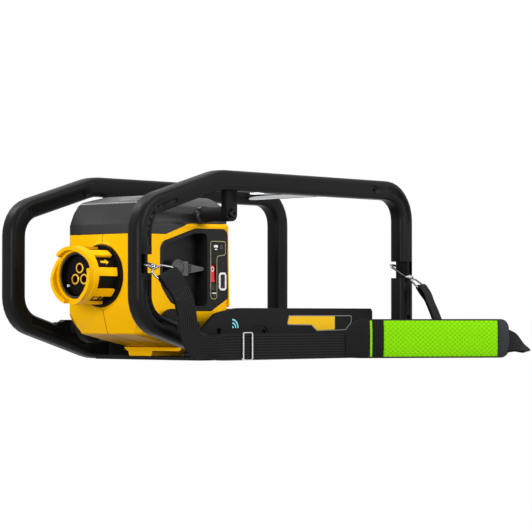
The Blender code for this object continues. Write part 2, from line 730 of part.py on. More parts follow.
def side_panel():
    """The black control panel with its finger recess and the box that holds the rocker."""
    back_y = PANEL_FACE_Y + 0.0035
    panel = plate("side_panel", [panel_outline(0)], PANEL_FACE_Y, back_y, UPRIGHT, PANEL_BLACK)
    tub = [recess_outline(0.002)]
    join(panel, plate("recess tub", tub, back_y - 0.001, RECESS_FLOOR_Y + 0.002, UPRIGHT))
    rocker_at = (ROCKER_X, ROCKER_Z)
    slot = rectangle(0.0112, 0.0412, 0.001, rocker_at)
    box = [fillet(inset(slot, -0.0014))]
    join(panel, plate("rocker box", box, back_y - 0.001, ROCKER_Y + 0.0076, UPRIGHT))
    cut(panel, plate("finger recess", [recess_outline(0)], PANEL_FACE_Y - 0.01, RECESS_FLOOR_Y, UPRIGHT))
    cut(panel, plate("rocker slot", [fillet(slot)], PANEL_FACE_Y - 0.01, -0.040, UPRIGHT))
    cut(panel, cylinder("shaft hole", 0.0045, 0.030, 0.060, TOWARDS_MINUS_Y, (LEVER_X, 0, LEVER_Z), 16))


def lever():
    """The grey pointer lever, its shaft, and the rotary switch that the shaft turns."""
    at = (LEVER_X, 0, LEVER_Z)
    hub = turned(
        "selector_lever",
        [(0, 0.0700), (0.0110, 0.0700), (0.0135, 0.0680), (0.0140, 0.0520), (0.0130, 0.0505), (0, 0.0505)],
        TOWARDS_MINUS_Y, at, 28, LEVER_GREY,
    )
    pointer = [(0, 0.010, 0), (0.019, 0.011, 0.002), (0.022, 0.0070, 0.002), (LEVER_REACH, 0.0022, 0.002)]
    pointer += [(x, -z, r) for x, z, r in reversed(pointer)]
    join(hub, plate("lever pointer", [fillet(pointer)], -0.0685, -0.0540, UPRIGHT, at=at))
    cylinder("lever_shaft", 0.004, 0.028, 0.0501, TOWARDS_MINUS_Y, at, 16, STEEL)
    case = [fillet(rectangle(0.030, 0.030, 0.003)), circle(0.0045, 16)]
    plate("selector_switch", case, -0.0476, -0.030, UPRIGHT, PANEL_BLACK, at=at)


def rocker():
    """The two-way rocker in its off position, its top half pressed in, and the switch body behind it."""
    half = ROCKER_HALF_LENGTH
    side_view = [
        (-0.0015, 0, 0), (-0.0040, half, 0.0008), (0.0020, half, 0.0008), (0.0060, 0.008, 0.002),
        (0.0060, -0.008, 0.002), (0.0020, -half, 0.0008), (-0.0040, -half, 0.0008),
    ]
    rest_turn = Matrix.Rotation(-ROCKER_REST_TILT, 4, "X")
    at = Matrix.Translation((ROCKER_X, ROCKER_Y, ROCKER_Z))
    piece = plate("rocker_switch", [fillet(side_view)], -0.005, 0.005, ACROSS, SWITCH_RED)
    piece.matrix_world = at @ rest_turn @ ACROSS
    low = (ROCKER_X - 0.0066, ROCKER_Y + 0.008, ROCKER_Z - 0.0216)
    high = (ROCKER_X + 0.0066, ROCKER_Y + 0.024, ROCKER_Z + 0.0216)
    block("rocker_switch_body", low, high, PANEL_BLACK)


def indicator():
    """The pale bezel with its dark window, on the panel's face."""
    at = (INDICATOR_X, 0, INDICATOR_Z)
    outer = rectangle(0.0160, 0.0270, 0.0050)
    ring = [fillet(outer), fillet(inset(outer, 0.0030))]
    face = PANEL_FACE_Y - 0.0003
    plate("indicator_bezel", ring, face - 0.0014, face, UPRIGHT, BEZEL_WHITE, at=at)
    plate("indicator_lens", [fillet(inset(outer, 0.0034))], face - 0.0008, face, UPRIGHT, LENS_DARK, at=at)


# Outlet

def sector(inner, outer, middle, width, steps=3):
    """Outline of a slice of a ring, centred on an angle."""
    angles = [middle + width * (k / steps - 0.5) for k in range(steps + 1)]
    inside = [Vector((inner * math.cos(a), inner * math.sin(a))) for a in angles]
    outside = [Vector((outer * math.cos(a), outer * math.sin(a))) for a in reversed(angles)]
    return inside + outside


def cam_lip(name, start):
    """One lip of the collar's front: it stands up at its start and runs down clockwise to the face."""
    steps = 9
    foot = COLLAR_FRONT - 0.003
    mesh = bpy.data.meshes.new(name)
    shape = bmesh.new()
    rows = []
    for k in range(steps + 1):
        turn = LIP_TURN * k / steps
        fall = max(0.0, turn - LIP_LEVEL_TURN) / (LIP_TURN - LIP_LEVEL_TURN)
        top = COLLAR_FRONT + LIP_HEIGHT * (1 - fall) - 0.001 * fall
        corners = ((LIP_INNER, foot), (LIP_OUTER, foot), (LIP_OUTER, top), (LIP_INNER, top))
        angle = start - turn
        rows.append([
            shape.verts.new((
                HOUSING_FRONT_X - height, -radius * math.cos(angle), OUTLET_Z + radius * math.sin(angle)
            ))
            for radius, height in corners
        ])
    for first, second in zip(rows, rows[1:]):
        for side in range(4):
            after = (side + 1) % 4
            shape.faces.new((first[side], first[after], second[after], second[side]))
    shape.faces.new(rows[0])
    shape.faces.new(rows[-1])
    bmesh.ops.recalc_face_normals(shape, faces=shape.faces)
    shape.to_mesh(mesh)
    shape.free()
    return add_object(name, mesh, Matrix.Identity(4), None)


def outlet():
    """The twist-lock outlet: fixed flange, locking collar, socket insert and its three contacts."""
    at = (HOUSING_FRONT_X, 0, OUTLET_Z)
    turned("connector_flange", [
        (BORE_RADIUS, 0.053), (0.0336, 0.053), (0.0336, COLLAR_REAR - 0.0006),
        (0.0380, COLLAR_REAR - 0.0006), (0.0380, 0.007),
        (FLANGE_RADIUS - 0.001, 0.007), (FLANGE_RADIUS, 0.006), (FLANGE_RADIUS, GAP), (0.0330, GAP),
        (0.0330, -0.012), (BORE_RADIUS, -0.012),
    ], TOWARDS_MINUS_X, at, 40, PANEL_BLACK, ring=True)
    collar = turned("locking_collar", [
        (0.0345, COLLAR_FRONT), (0.0420, COLLAR_FRONT), (COLLAR_RADIUS, COLLAR_FRONT - 0.001),
        (COLLAR_RADIUS, COLLAR_REAR), (0.0340, COLLAR_REAR), (0.0340, COLLAR_FRONT - 0.001),
    ], TOWARDS_MINUS_X, at, 48, SHELL_YELLOW, ring=True)
    for k in range(LIP_COUNT):
        join(collar, cam_lip(f"collar lip {k}", LIP_START + 2 * math.pi * k / LIP_COUNT))
    for k in range(FINGER_COUNT):
        angle = 2 * math.pi * (k + 0.16) / FINGER_COUNT
        outline = sector(0.0384, 0.0424, angle, math.radians(17))
        finger = plate(f"collar finger {k}", [outline], FINGER_TIP, COLLAR_REAR + 0.004, FLAT)
        finger.matrix_world = Matrix.Translation(at) @ TOWARDS_MINUS_X @ finger.matrix_world
        join(collar, finger)
    insert = turned("socket_insert", [
        (0, CONTACT_FRONT - 0.001), (0.0290, CONTACT_FRONT - 0.001), (0.0300, CONTACT_FRONT - 0.002),
        (0.0300, -0.018), (0, -0.018),
    ], TOWARDS_MINUS_X, at, 32, PANEL_BLACK)
    for k in range(3):
        angle = math.radians(90 + 120 * k)
        place = (at[0], CONTACT_CIRCLE * math.cos(angle), OUTLET_Z + CONTACT_CIRCLE * math.sin(angle))
        cut(insert, cylinder(f"contact hole {k}", 0.0084, 0.012, 0.050, TOWARDS_MINUS_X, place, 20))
        turned(f"contact_socket_{k + 1}", [
            (0.0052, CONTACT_FRONT), (CONTACT_RADIUS, CONTACT_FRONT), (CONTACT_RADIUS, 0.0124), (0, 0.0124),
            (0, 0.018), (0.0052, 0.018),
        ], TOWARDS_MINUS_X, place, 20, BRASS, ring=True)


# Tray and what sits behind the housing

def battery_tray():
    """The open tray between the frames: a floor that runs under the housing, and two walls with arms."""
    edge = [(-0.150, -0.114, 0.008), (TRAY_END_X - 0.003, -0.114, 0.004)]
    edge += [(x, -y, r) for x, y, r in reversed(edge)]
    tray = plate("battery_tray", [fillet(edge)], 0.0, TRAY_FLOOR, FLAT, FRAME_BLACK)
    rear_edge = [(TRAY_END_X, 0.002, 0), (TRAY_END_X, TRAY_TOP_Z, 0.006)]
    walls = {
        "near": [
            *rear_edge, (-0.078, TRAY_TOP_Z, 0.060), (-0.122, 0.0695, 0.030), (-0.152, 0.0455, 0.012),
            (TRAY_ARM_X, 0.040, 0.006), (TRAY_ARM_X, 0.002, 0),
        ],
        "far": [*rear_edge, (-0.090, TRAY_TOP_Z, 0.020), (FAR_WALL_X, 0.050, 0.010), (FAR_WALL_X, 0.002, 0)],
    }
    outer = (FRAME_SPACING - BAR_WIDTH) / 2 - 0.0006
    head_face = (FRAME_SPACING + BAR_WIDTH) / 2 - BOLT_SEAT_DEPTH + GAP
    bolt_hole = TRAY_BOLT[2] + GAP
    for side, label in SIDES:
        axis = outward(side)
        low, high = sorted((side * outer, side * (outer - TRAY_WALL)))
        join(tray, plate(f"tray {label} wall", [fillet(walls[label])], low, high, UPRIGHT))
        rail_low, rail_high = sorted((side * 0.105, side * 0.1135))
        join(tray, block(f"tray {label} rail", (-0.030, rail_low, 0.044), (0.224, rail_high, 0.050)))
        for order, x in enumerate(TRAY_BOLT_XS, 1):
            at = (x, 0, TRAY_BOLT_Z)
            cut(tray, cylinder(f"tray {label} bolt hole {order}", bolt_hole, 0.100, 0.130, axis, at, 12))
            name = f"{label}_tray_bolt_{order}"
            bolt(name, x, TRAY_BOLT_Z, side, TRAY_BOLT, head_face, outer - BOLT_SEAT_DEPTH)
        pocket = [(-0.050, 0.031, 0), (-0.008, 0.031, 0), (-0.008, 0.051, 0.012), (-0.050, 0.051, 0.012)]
        low, high = sorted((side * (outer - TRAY_POCKET), side * (outer + SLOT_OVER)))
        cut(tray, plate(f"tray {label} pocket", [fillet(pocket)], low, high, UPRIGHT))
        for x, z in TRAY_HOLES:
            hole = f"tray {label} hole {x}"
            cut(tray, cylinder(hole, TRAY_HOLE_RADIUS, 0.100, 0.130, axis, (x, 0, z), 16))
    join(tray, block(
        "tray end lip", (TRAY_END_X - 0.010, -0.1135, 0.003), (TRAY_END_X - 0.0015, 0.1135, 0.014)
    ))


def terminal_block():
    """The block of battery terminals in the housing's rear wall, with a slot for each blade."""
    body = block("terminal_block", (-0.066, -0.038, 0.046), (-0.022, 0.038, 0.080), PANEL_BLACK, 0.002)
    for k in range(4):
        y = 0.016 * (k - 1.5)
        cut(body, block(f"blade slot {k}", (-0.040, y - 0.003, 0.053), (-0.015, y + 0.003, 0.073)))


def electronics():
    """Inverter board, heat sink, bulk capacitors and the leads between terminals, board and outlet."""
    block("inverter_board", (-0.205, 0.0335, 0.060), (-0.075, 0.0351, 0.172), BOARD_GREEN)
    pitch, fin, root, tip = 0.012, 0.003, 0.041, 0.062
    sink_low, sink_high, sink_back = 0.074, 0.170, 0.0355
    corners = [Vector((sink_back, sink_low)), Vector((sink_back, sink_high)), Vector((root, sink_high))]
    for k in range(8):
        z = sink_high - pitch * (k + 0.5) + fin / 2
        corners += [Vector(point) for point in ((root, z), (tip, z), (tip, z - fin), (root, z - fin))]
    corners.append(Vector((root, sink_low)))
    plate("heat_sink", [corners], -0.200, -0.080, ACROSS, ALUMINIUM)
    for k in range(3):
        place = (-0.180 + 0.032 * k, 0, 0.152)
        turned(
            f"bulk_capacitor_{k + 1}",
            [(0, 0.0331), (0.0120, 0.0331), (0.0125, 0.0320), (0.0125, 0.0010), (0.0115, 0), (0, 0)],
            TOWARDS_PLUS_Y, place, 16, CAPACITOR_BLUE,
        )
    for k, board_z in enumerate((0.128, 0.100, 0.114)):
        angle = math.radians(90 + 120 * k)
        y, z = CONTACT_CIRCLE * math.cos(angle), OUTLET_Z + CONTACT_CIRCLE * math.sin(angle)
        route = [Vector((x, y, z)) for x in (-0.2215, -0.2180, -0.2145)]
        route.append(Vector((-0.200, (y + 0.022) / 2, (z + board_z) / 2)))
        route += [Vector((-0.191, board_y, board_z)) for board_y in (0.0220, 0.0275, 0.0330)]
        tube(f"phase_lead_{k + 1}", smooth(route, 2), 0.0022, LEAD_RED, resolution=1)
    for k, y in enumerate((0.012, -0.012)):
        board_x = -0.092 - 0.012 * k
        route = [Vector((x, y, 0.063)) for x in (-0.0666, -0.0700, -0.0734)]
        route.append(Vector((board_x + 0.002, y * 0.5 + 0.012, 0.068)))
        route += [Vector((board_x, board_y, 0.071)) for board_y in (0.0220, 0.0275, 0.0330)]
        tube(f"battery_lead_{k + 1}", smooth(route, 2), 0.0026, LEAD_RED, resolution=1)


# Shoulder strap

def ribbon(name, stations, per_span=4):
    """Webbing through stations of (middle point, direction across), as a sheet with a thickness."""
    middles = smooth([Vector(point) for point, _ in stations], per_span)
    across = smooth([Vector(direction).normalized() for _, direction in stations], per_span)
    mesh = bpy.data.meshes.new(name)
    shape = bmesh.new()
    rows = []
    for middle, direction in zip(middles, across):
        arm = direction.normalized() * WEB_WIDTH / 2
        rows.append([shape.verts.new(middle - arm), shape.verts.new(middle + arm)])
    for first, second in zip(rows, rows[1:]):
        shape.faces.new((first[0], second[0], second[1], first[1]))
    shape.to_mesh(mesh)
    shape.free()
    sheet = add_object(name, mesh, Matrix.Identity(4), WEBBING)
    solidify = sheet.modifiers.new("webbing thickness", "SOLIDIFY")
    solidify.thickness = WEB_THICKNESS
    solidify.offset = 0.0
    return sheet


def strap_webbing():
    """The webbing: one run from the front hook along the ground to the pad, one from there to the rear."""
    pad_run = (Vector(PAD_END) - Vector(PAD_START)).normalized()
    pad_in = Vector((*PAD_START, WEB_RUN_Z)) - Vector((*pad_run, 0)) * GAP
    pad_out = Vector((*PAD_END, PAD_EXIT_Z)) + Vector((*pad_run, 0)) * 0.0012
    upright = (0, 0, 1)
    run = [((x, WEB_RUN_Y, WEB_RUN_Z), upright) for x in WEB_RUN_X]
    ribbon("strap_webbing_front", [
        ((-0.2720, -0.1682, 0.1235), (0.93, 0, 0.36)),
        ((-0.2684, -0.1710, 0.1175), (0.94, 0, 0.33)),
        ((-0.2597, -0.1760, 0.1040), (0.97, 0, 0.24)),
        ((-0.2531, -0.1795, 0.0882), (1, 0, 0.08)),
        ((-0.2481, -0.1805, 0.0685), (1, 0, 0.02)),
        ((-0.2445, -0.1800, 0.0520), (1, 0, 0.10)),
        ((-0.2370, -0.1775, 0.0378), (0.88, 0, 0.47)),
        ((-0.2245, -0.1740, 0.0268), (0.64, -0.08, 0.76)),
        ((-0.2060, -0.1695, 0.0212), (0.38, -0.24, 0.88)),
        ((-0.1800, -0.1650, 0.0202), (0.12, -0.36, 0.92)),
        *run,
        ((0.000, -0.1635, WEB_RUN_Z), upright),
        ((0.060, -0.1665, WEB_RUN_Z), upright),
        (pad_in, upright),
    ])
    ribbon("strap_webbing_return", [
        (pad_out, (0.36, 0.34, 0.86)),
        ((0.333, -0.334, 0.023), (0.52, 0.50, 0.69)),
        ((0.346, -0.3385, 0.0165), (0.70, 0.62, 0.30)),
        ((0.356, -0.3330, 0.0118), (0.95, 0.25, 0.08)),
        ((0.357, -0.3110, 0.0066), (0.99, -0.10, 0)),
        ((0.350, -0.2740, 0.0040), (1, 0, 0)),
        ((0.332, -0.2380, 0.0090), (1, 0.12, 0)),
        ((0.3115, -0.2080, 0.0370), (0.95, 0.30, 0.05)),
        ((0.3062, -0.1885, 0.0773), (0.93, 0.35, 0.05)),
        ((0.3061, -0.1785, 0.0955), (0.93, 0.36, 0.05)),
        ((0.3030, -0.1705, 0.1095), (0.93, 0.36, 0.05)),
    ])


def shoulder_pad():
    """The shoulder pad on its edge: a padded strip with crowned faces, a tapered start and thin edges."""
    start, end = Vector((*PAD_START, 0)), Vector((*PAD_END, 0))
    run = end - start
    length = run.length
    up_count = 6
    even_count, end_steps = 13, (0.35, 0.70, 0.92, 1.0)
    even_end = length - PAD_END_ROUND
    stations = [even_end * k / even_count for k in range(even_count + 1)]
    stations += [even_end + PAD_END_ROUND * step for step in end_steps]
    along_count = len(stations) - 1
    mesh = bpy.data.meshes.new("shoulder_pad")
    shape = bmesh.new()
    bmesh.ops.create_cube(shape, size=1.0)
    lengthwise = [e for e in shape.edges if abs(e.verts[0].co.x - e.verts[1].co.x) > 0.5]
    bmesh.ops.subdivide_edges(shape, edges=lengthwise, cuts=along_count - 1, use_grid_fill=True)
    upwards = [e for e in shape.edges if abs(e.verts[0].co.z - e.verts[1].co.z) > 0.5]
    bmesh.ops.subdivide_edges(shape, edges=upwards, cuts=up_count - 1, use_grid_fill=True)
    for vert in shape.verts:
        s = stations[round((vert.co.x + 0.5) * along_count)]
        up = vert.co.z * 2
        taper = min(1.0, s / PAD_TAPER)
        ease = taper * taper * (3 - 2 * taper)
        height = WEB_WIDTH + (PAD_HEIGHT - WEB_WIDTH) * ease
        reach = max(0.0, s - even_end)
        corner = PAD_END_ROUND - math.sqrt(max(0.0, PAD_END_ROUND**2 - reach**2))
        low = WEB_RUN_Z - WEB_WIDTH / 2
        base = low + (PAD_BASE_Z - low) * ease + corner
        height -= 2 * corner
        to_ends = min(1.0, s / PAD_START_EASE, (length - s) / PAD_END_ROUND + 0.25)
        crown = (1 - PAD_CROWN * abs(up) ** 3) * (1 - PAD_CROWN * (1 - to_ends))
        vert.co = (s, vert.co.y * PAD_THICKNESS * crown, base + height * (vert.co.z + 0.5))
    shape.to_mesh(mesh)
    shape.free()
    turn = Matrix.Rotation(math.atan2(run.y, run.x), 4, "Z")
    pad = add_object("shoulder_pad", mesh, Matrix.Translation(start) @ turn, PAD_LIME)
    subdivide = pad.modifiers.new("soft form", "SUBSURF")
    subdivide.levels = 1
    subdivide.render_levels = 1


def strap_slider():
    """The chrome slider: a ring in front of the webbing, a bar behind it and ends that join them."""
    half_height = WEB_WIDTH / 2 + GAP
    clear = WEB_THICKNESS / 2 + SLIDER_CLEAR
    front = (-clear - SLIDER_SHEET, -clear)
    back = clear + SLIDER_SHEET
    outer = rectangle(SLIDER_WIDTH, 2 * (half_height + SLIDER_RAIL), 0.0040)
    window = rectangle(SLIDER_WIDTH - 2 * SLIDER_SIDE, 2 * half_height, 0.0015)
    ring = plate("strap_slider", [fillet(outer), fillet(window)], *front, UPRIGHT, CHROME)
    bar_end = half_height + SLIDER_RAIL / 2
    bar = block("slider bar", (-SLIDER_BAR_HALF, clear, -bar_end), (SLIDER_BAR_HALF, back, bar_end))
    pieces = [ring]
    for label, level in (("low", -1), ("high", 1)):
        inside, outside = sorted((level * (half_height + GAP / 4), level * (half_height + SLIDER_RAIL)))
        low, high = (-SLIDER_END_HALF, sum(front) / 2, inside), (SLIDER_END_HALF, back, outside)
        pieces.append(block(f"slider {label} end", low, high))
    pieces.append(bar)
    place = Matrix.Translation((SLIDER_X, WEB_RUN_Y, WEB_RUN_Z))
    for piece in pieces:
        piece.matrix_world = place @ piece.matrix_world
    join(*pieces)


def strap_hook(label, side_x, bar_middle, bar_across):
    """A snap hook on a frame post: wire body, sprung gate and the triangular eye for the webbing."""
    drop, half = HOOK_DROPS[label], HOOK_HALF_WIDTH

    def hook_point(across, along):
        """A point across the hook's width towards the gate, and along it from its back."""
        y, z = HOOK_BACK_Y - along * math.cos(drop), HOOK_BACK_Z - along * math.sin(drop)
        return Vector((side_x * (HOOK_X - across), y, z))

    arc = [math.radians(angle) for angle in range(0, 181, 30)]
    route = [hook_point(half, HOOK_GATE_END)]
    route += [hook_point(half * math.cos(a), half - half * math.sin(a)) for a in arc]
    route += [
        hook_point(-half, HOOK_LENGTH - 0.004), hook_point(-half * 0.7, HOOK_LENGTH - 0.001),
        hook_point(0, HOOK_LENGTH), hook_point(half + 0.001, HOOK_LENGTH),
    ]
    body = tube(f"{label}_hook_body", route, HOOK_WIRE, CHROME)
    pull = (hook_point(0, 1) - hook_point(0, 0)).normalized()
    turn = pull.to_track_quat("Z", "X").to_matrix().to_4x4()
    base = hook_point(0, HOOK_LENGTH)
    join(body, cylinder(f"{label} hook barrel", HOOK_BARREL_RADIUS, -0.001, 0.0065, turn, base, 14))
    hinge = hook_point(half, HOOK_LENGTH - 0.0028)
    tip = hook_point(half, HOOK_GATE_END + GAP)
    gate = tube(f"{label}_hook_gate", [Vector((0, 0, 0)), tip - hinge], HOOK_GATE_WIRE, CHROME)
    gate.matrix_world = Matrix.Translation(hinge)
    reach = Vector(bar_across).normalized() * (WEB_WIDTH / 2 + 0.0015)
    apex = base + pull * 0.0088
    left, right = Vector(bar_middle) - reach, Vector(bar_middle) + reach
    eye = []
    for corner, before, after in ((left, apex, right), (right, left, apex), (apex, right, left)):
        eye.append(corner + (before - corner).normalized() * EYE_CORNER)
        eye.append(corner + (after - corner).normalized() * EYE_CORNER)
    tube(f"{label}_strap_eye", eye, EYE_WIRE, CHROME, closed=True, resolution=1)


def build():
    for side, label in SIDES:
        side_frame(f"{label}_side_frame", side)
    cross_rod()
    isolators()
    housing()
    skid_foot()
    side_panel()
    lever()
    rocker()
    indicator()
    outlet()
    battery_tray()
    terminal_block()
    electronics()
    strap_webbing()
    shoulder_pad()
    strap_slider()
    strap_hook("front", -1, (-0.2755, -0.1672, 0.1285), (0.93, 0, 0.36))
    strap_hook("rear", 1, (0.3005, -0.1668, 0.1155), (0.93, 0.36, 0.05))


build()
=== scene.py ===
"""Dressed model of a battery power unit for concrete tools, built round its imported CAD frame.

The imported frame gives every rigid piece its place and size. This script gives the pieces their finishes,
rebuilds the soft ones, adds the small marks and fasteners, and sets up a plain studio.
"""

from __future__ import annotations

import bisect
import json
import logging
import math
from abc import ABC, abstractmethod
from collections.abc import Callable, Sequence
from dataclasses import dataclass
from enum import Enum, IntEnum
from typing import Any

import bmesh
import bpy
from mathutils import Matrix, Vector

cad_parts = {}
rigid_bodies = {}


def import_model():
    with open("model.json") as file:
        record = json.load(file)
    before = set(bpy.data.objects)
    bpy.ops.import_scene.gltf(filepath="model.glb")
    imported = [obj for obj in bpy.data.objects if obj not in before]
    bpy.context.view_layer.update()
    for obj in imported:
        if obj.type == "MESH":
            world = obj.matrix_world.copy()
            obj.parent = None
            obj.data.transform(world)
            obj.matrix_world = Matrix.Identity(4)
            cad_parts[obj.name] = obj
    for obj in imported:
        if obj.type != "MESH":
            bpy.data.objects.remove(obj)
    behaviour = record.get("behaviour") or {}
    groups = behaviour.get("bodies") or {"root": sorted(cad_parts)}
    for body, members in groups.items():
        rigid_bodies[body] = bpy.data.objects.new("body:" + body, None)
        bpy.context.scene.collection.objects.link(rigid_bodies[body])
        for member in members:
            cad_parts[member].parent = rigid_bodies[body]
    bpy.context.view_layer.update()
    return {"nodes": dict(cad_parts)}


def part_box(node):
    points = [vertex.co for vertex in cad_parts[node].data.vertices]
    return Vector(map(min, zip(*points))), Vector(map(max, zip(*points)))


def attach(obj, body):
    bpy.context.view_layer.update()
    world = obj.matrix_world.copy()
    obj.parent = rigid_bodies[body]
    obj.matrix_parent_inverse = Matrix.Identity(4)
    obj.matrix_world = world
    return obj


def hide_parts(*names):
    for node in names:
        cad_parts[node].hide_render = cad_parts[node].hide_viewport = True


Mesh = bpy.types.Mesh
Node = bpy.types.Node
NodeTree = bpy.types.NodeTree
Socket = bpy.types.NodeSocket
Place = Callable[[float, float, float], Vector]
Point = tuple[float, float]
Triple = tuple[float, float, float]
Station = tuple[Sequence[float], Sequence[float]]
Spot = tuple[Vector, Vector, Vector]

LOG = logging.getLogger("power_unit")
MM = 0.001
# Scale at which a wave texture has one band in a metre
WAVE_PERIOD = 2 * math.pi / 20
# Edges between faces that meet at less than this are shaded smooth, and sharper ones can be rounded
SMOOTH_BELOW = math.radians(34)
# Facets of the CAD mesh that meet at less than this are one face, and points closer than this are one point
FLAT_BELOW = math.radians(0.8)
WELD = 0.01 * MM
# Least cosine of the half angle at a printed line's corner, which keeps sharp corners from running out
SHORTEST_MITRE = 0.4
ALONG_X = Vector((1, 0, 0))
UP = Vector((0, 0, 1))
BOTH = (-1, 1)
WHITE = (1.0, 1.0, 1.0, 1.0)


class Body(Enum):
    """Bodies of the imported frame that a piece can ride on."""

    CHASSIS = "chassis"
    COLLAR = "collar"
    LEVER = "lever"
    ROCKER = "rocker"
    SLIDER = "slider"
    FRONT_GATE = "front_gate"
    REAR_GATE = "rear_gate"


class Slot(Enum):
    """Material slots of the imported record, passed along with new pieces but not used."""

    FRAME = "frame_black"
    HOUSING = "housing_yellow"
    COVER = "cover_grey"
    PANEL = "panel_black"
    LEVER = "lever_grey"
    SWITCH = "switch_red"
    BEZEL = "bezel_white"
    LENS = "lens_dark"
    RUBBER = "rubber"
    ROD = "polished_steel"
    BOLT = "bolt_steel"
    CHROME = "chrome"
    BRASS = "contact_brass"
    WEBBING = "webbing"
    PAD = "pad_lime"


class PadZone(IntEnum):
    """Zones of the shoulder pad's cover, in the order of its finishes."""

    NYLON = 0
    MESH = 1
    END = 2
    BINDING = 3


# Finishes


def linear_colour(hex_colour: str) -> tuple[float, float, float, float]:
    """Turns an sRGB hex value into Blender's linear colour.

    Args:
        hex_colour: Six hex digits.

    Returns:
        Linear red, green, blue and an alpha of one.
    """
    channels = [int(hex_colour[start:start + 2], 16) / 255 for start in (0, 2, 4)]
    red, green, blue = (c / 12.92 if c <= 0.04045 else ((c + 0.055) / 1.055) ** 2.4 for c in channels)
    return red, green, blue, 1.0


def per_metre(size_mm: float) -> float:
    """Texture scale at which a noise or cell pattern has features of a size in millimetres."""
    return 1 / (size_mm * MM)


def add_node(tree: NodeTree, kind: str, inputs: dict[str | int, Any] | None = None, **settings: Any) -> Node:
    """Adds a node with its settings and links.

    Args:
        tree: The tree that takes the node.
        kind: Blender's type name of the node.
        inputs: By name or index, a value, a socket to link from, or a node whose first output is linked.
        **settings: Properties of the node.

    Returns:
        The new node.
    """
    node = tree.nodes.new(kind)
    for name, value in settings.items():
        setattr(node, name, value)
    for name, value in (inputs or {}).items():
        source = value.outputs[0] if isinstance(value, Node) else value
        if isinstance(source, Socket):
            tree.links.new(source, node.inputs[name])
        else:
            node.inputs[name].default_value = source
    return node


@dataclass(frozen=True)
class Finish(ABC):
    """A real material with its colour and gloss; a few finishes are painted shade or painted reflection
    instead.
    """

    name: str
    colour: str
    roughness: float
    metallic: float = 0.0
    specular: float = 0.35

    def material(self) -> bpy.types.Material:
        """Builds the material on first use.

        Returns:
            The material of this finish.
        """
        found = bpy.data.materials.get(self.name)
        if found:
            return found
        material = bpy.data.materials.new(self.name)
        material.use_nodes = True
        tree = material.node_tree
        shader = tree.nodes["Principled BSDF"]
        values = {"Base Color": linear_colour(self.colour), "Roughness": self.roughness}
        values["Metallic"] = self.metallic
        if not self.metallic:
            values["Specular IOR Level"] = self.specular
        for name, value in values.items():
            shader.inputs[name].default_value = value
        self.dress(tree, shader)
        return material

    @abstractmethod
    def dress(self, tree: NodeTree, shader: Node) -> None:
        """Adds the pattern of the real surface.

        Args:
            tree: The material's node tree.
            shader: Its shader node.
        """

    def tint(self, tree: NodeTree, shader: Node, mask: Node | Socket, other: str) -> None:
        """Mixes a second colour into the surface.

        Args:
            tree: The material's node tree.
            shader: Its shader node.
            mask: Pattern that is one where the second colour shows.
            other: The second colour.
        """
        colours = {6: linear_colour(self.colour), 7: linear_colour(other)}
        mix = add_node(tree, "ShaderNodeMix", {0: mask, **colours}, data_type="RGBA")
        tree.links.new(mix.outputs[2], shader.inputs["Base Color"])

    def vary_gloss(self, tree: NodeTree, shader: Node, mask: Node | Socket, spread: float) -> None:
        """Lets the gloss vary a little with a pattern.

        Args:
            tree: The material's node tree.
            shader: Its shader node.
            mask: The pattern, whose middle values count most.
            spread: How far the roughness goes to each side.
        """
        smoothest = max(0.02, self.roughness - spread)
        gloss = add_node(
            tree, "ShaderNodeMapRange", {0: mask, 1: 0.3, 2: 0.7, 3: smoothest, 4: self.roughness + spread}
        )
        tree.links.new(gloss.outputs[0], shader.inputs["Roughness"])

    def relief(self, tree: NodeTree, shader: Node, height: Node | Socket, depth_mm: float) -> None:
        """Adds a bump of a height pattern, with its depth in millimetres."""
        bump = add_node(tree, "ShaderNodeBump", {"Distance": depth_mm * MM, "Height": height})
        tree.links.new(bump.outputs[0], shader.inputs["Normal"])


@dataclass(frozen=True)
class MouldedPlastic(Finish):
    """Moulded plastic or rubber: a spark-eroded grain from the mould, and a faint flow mottle."""

    grain_mm: float = 0.7
    grain_depth_mm: float = 0.05
    mottle_mm: float = 45.0
    mottle_colour: str = ""
    gloss_spread: float = 0.05

    def dress(self, tree: NodeTree, shader: Node) -> None:
        """Adds grain, mottle and a gloss that varies with the mottle.

        Args:
            tree: The material's node tree.
            shader: Its shader node.
        """
        place = add_node(tree, "ShaderNodeTexCoord").outputs["Object"]
        grain = add_node(
            tree, "ShaderNodeTexNoise",
            {"Vector": place, "Scale": per_metre(self.grain_mm), "Detail": 3.0, "Roughness": 0.6},
        )
        mottle = add_node(
            tree, "ShaderNodeTexNoise",
            {"Vector": place, "Scale": per_metre(self.mottle_mm), "Detail": 4.0, "Roughness": 0.65},
        )
        self.tint(tree, shader, mottle, self.mottle_colour or self.colour)
        self.vary_gloss(tree, shader, mottle, self.gloss_spread)
        self.relief(tree, shader, grain, self.grain_depth_mm)


@dataclass(frozen=True)
class WorkedMetal(Finish):
    """Ground, plated or extruded metal: fine marks along one direction and a slightly uneven gloss."""

    mark_mm: Triple = (0.5, 0.5, 20.0)
    mark_depth_mm: float = 0.004
    gloss_spread: float = 0.06
    metallic: float = 1.0

    def dress(self, tree: NodeTree, shader: Node) -> None:
        """Adds stretched marks to the gloss and the relief.

        Args:
            tree: The material's node tree.
            shader: Its shader node.
        """
        place = add_node(tree, "ShaderNodeTexCoord").outputs["Object"]
        scale = tuple(per_metre(size) for size in self.mark_mm)
        stretched = add_node(tree, "ShaderNodeMapping", {"Vector": place, "Scale": scale})
        marks = add_node(tree, "ShaderNodeTexNoise", {"Vector": stretched, "Scale": 1.0, "Detail": 3.0})
        self.vary_gloss(tree, shader, marks, self.gloss_spread)
        self.relief(tree, shader, marks, self.mark_depth_mm)


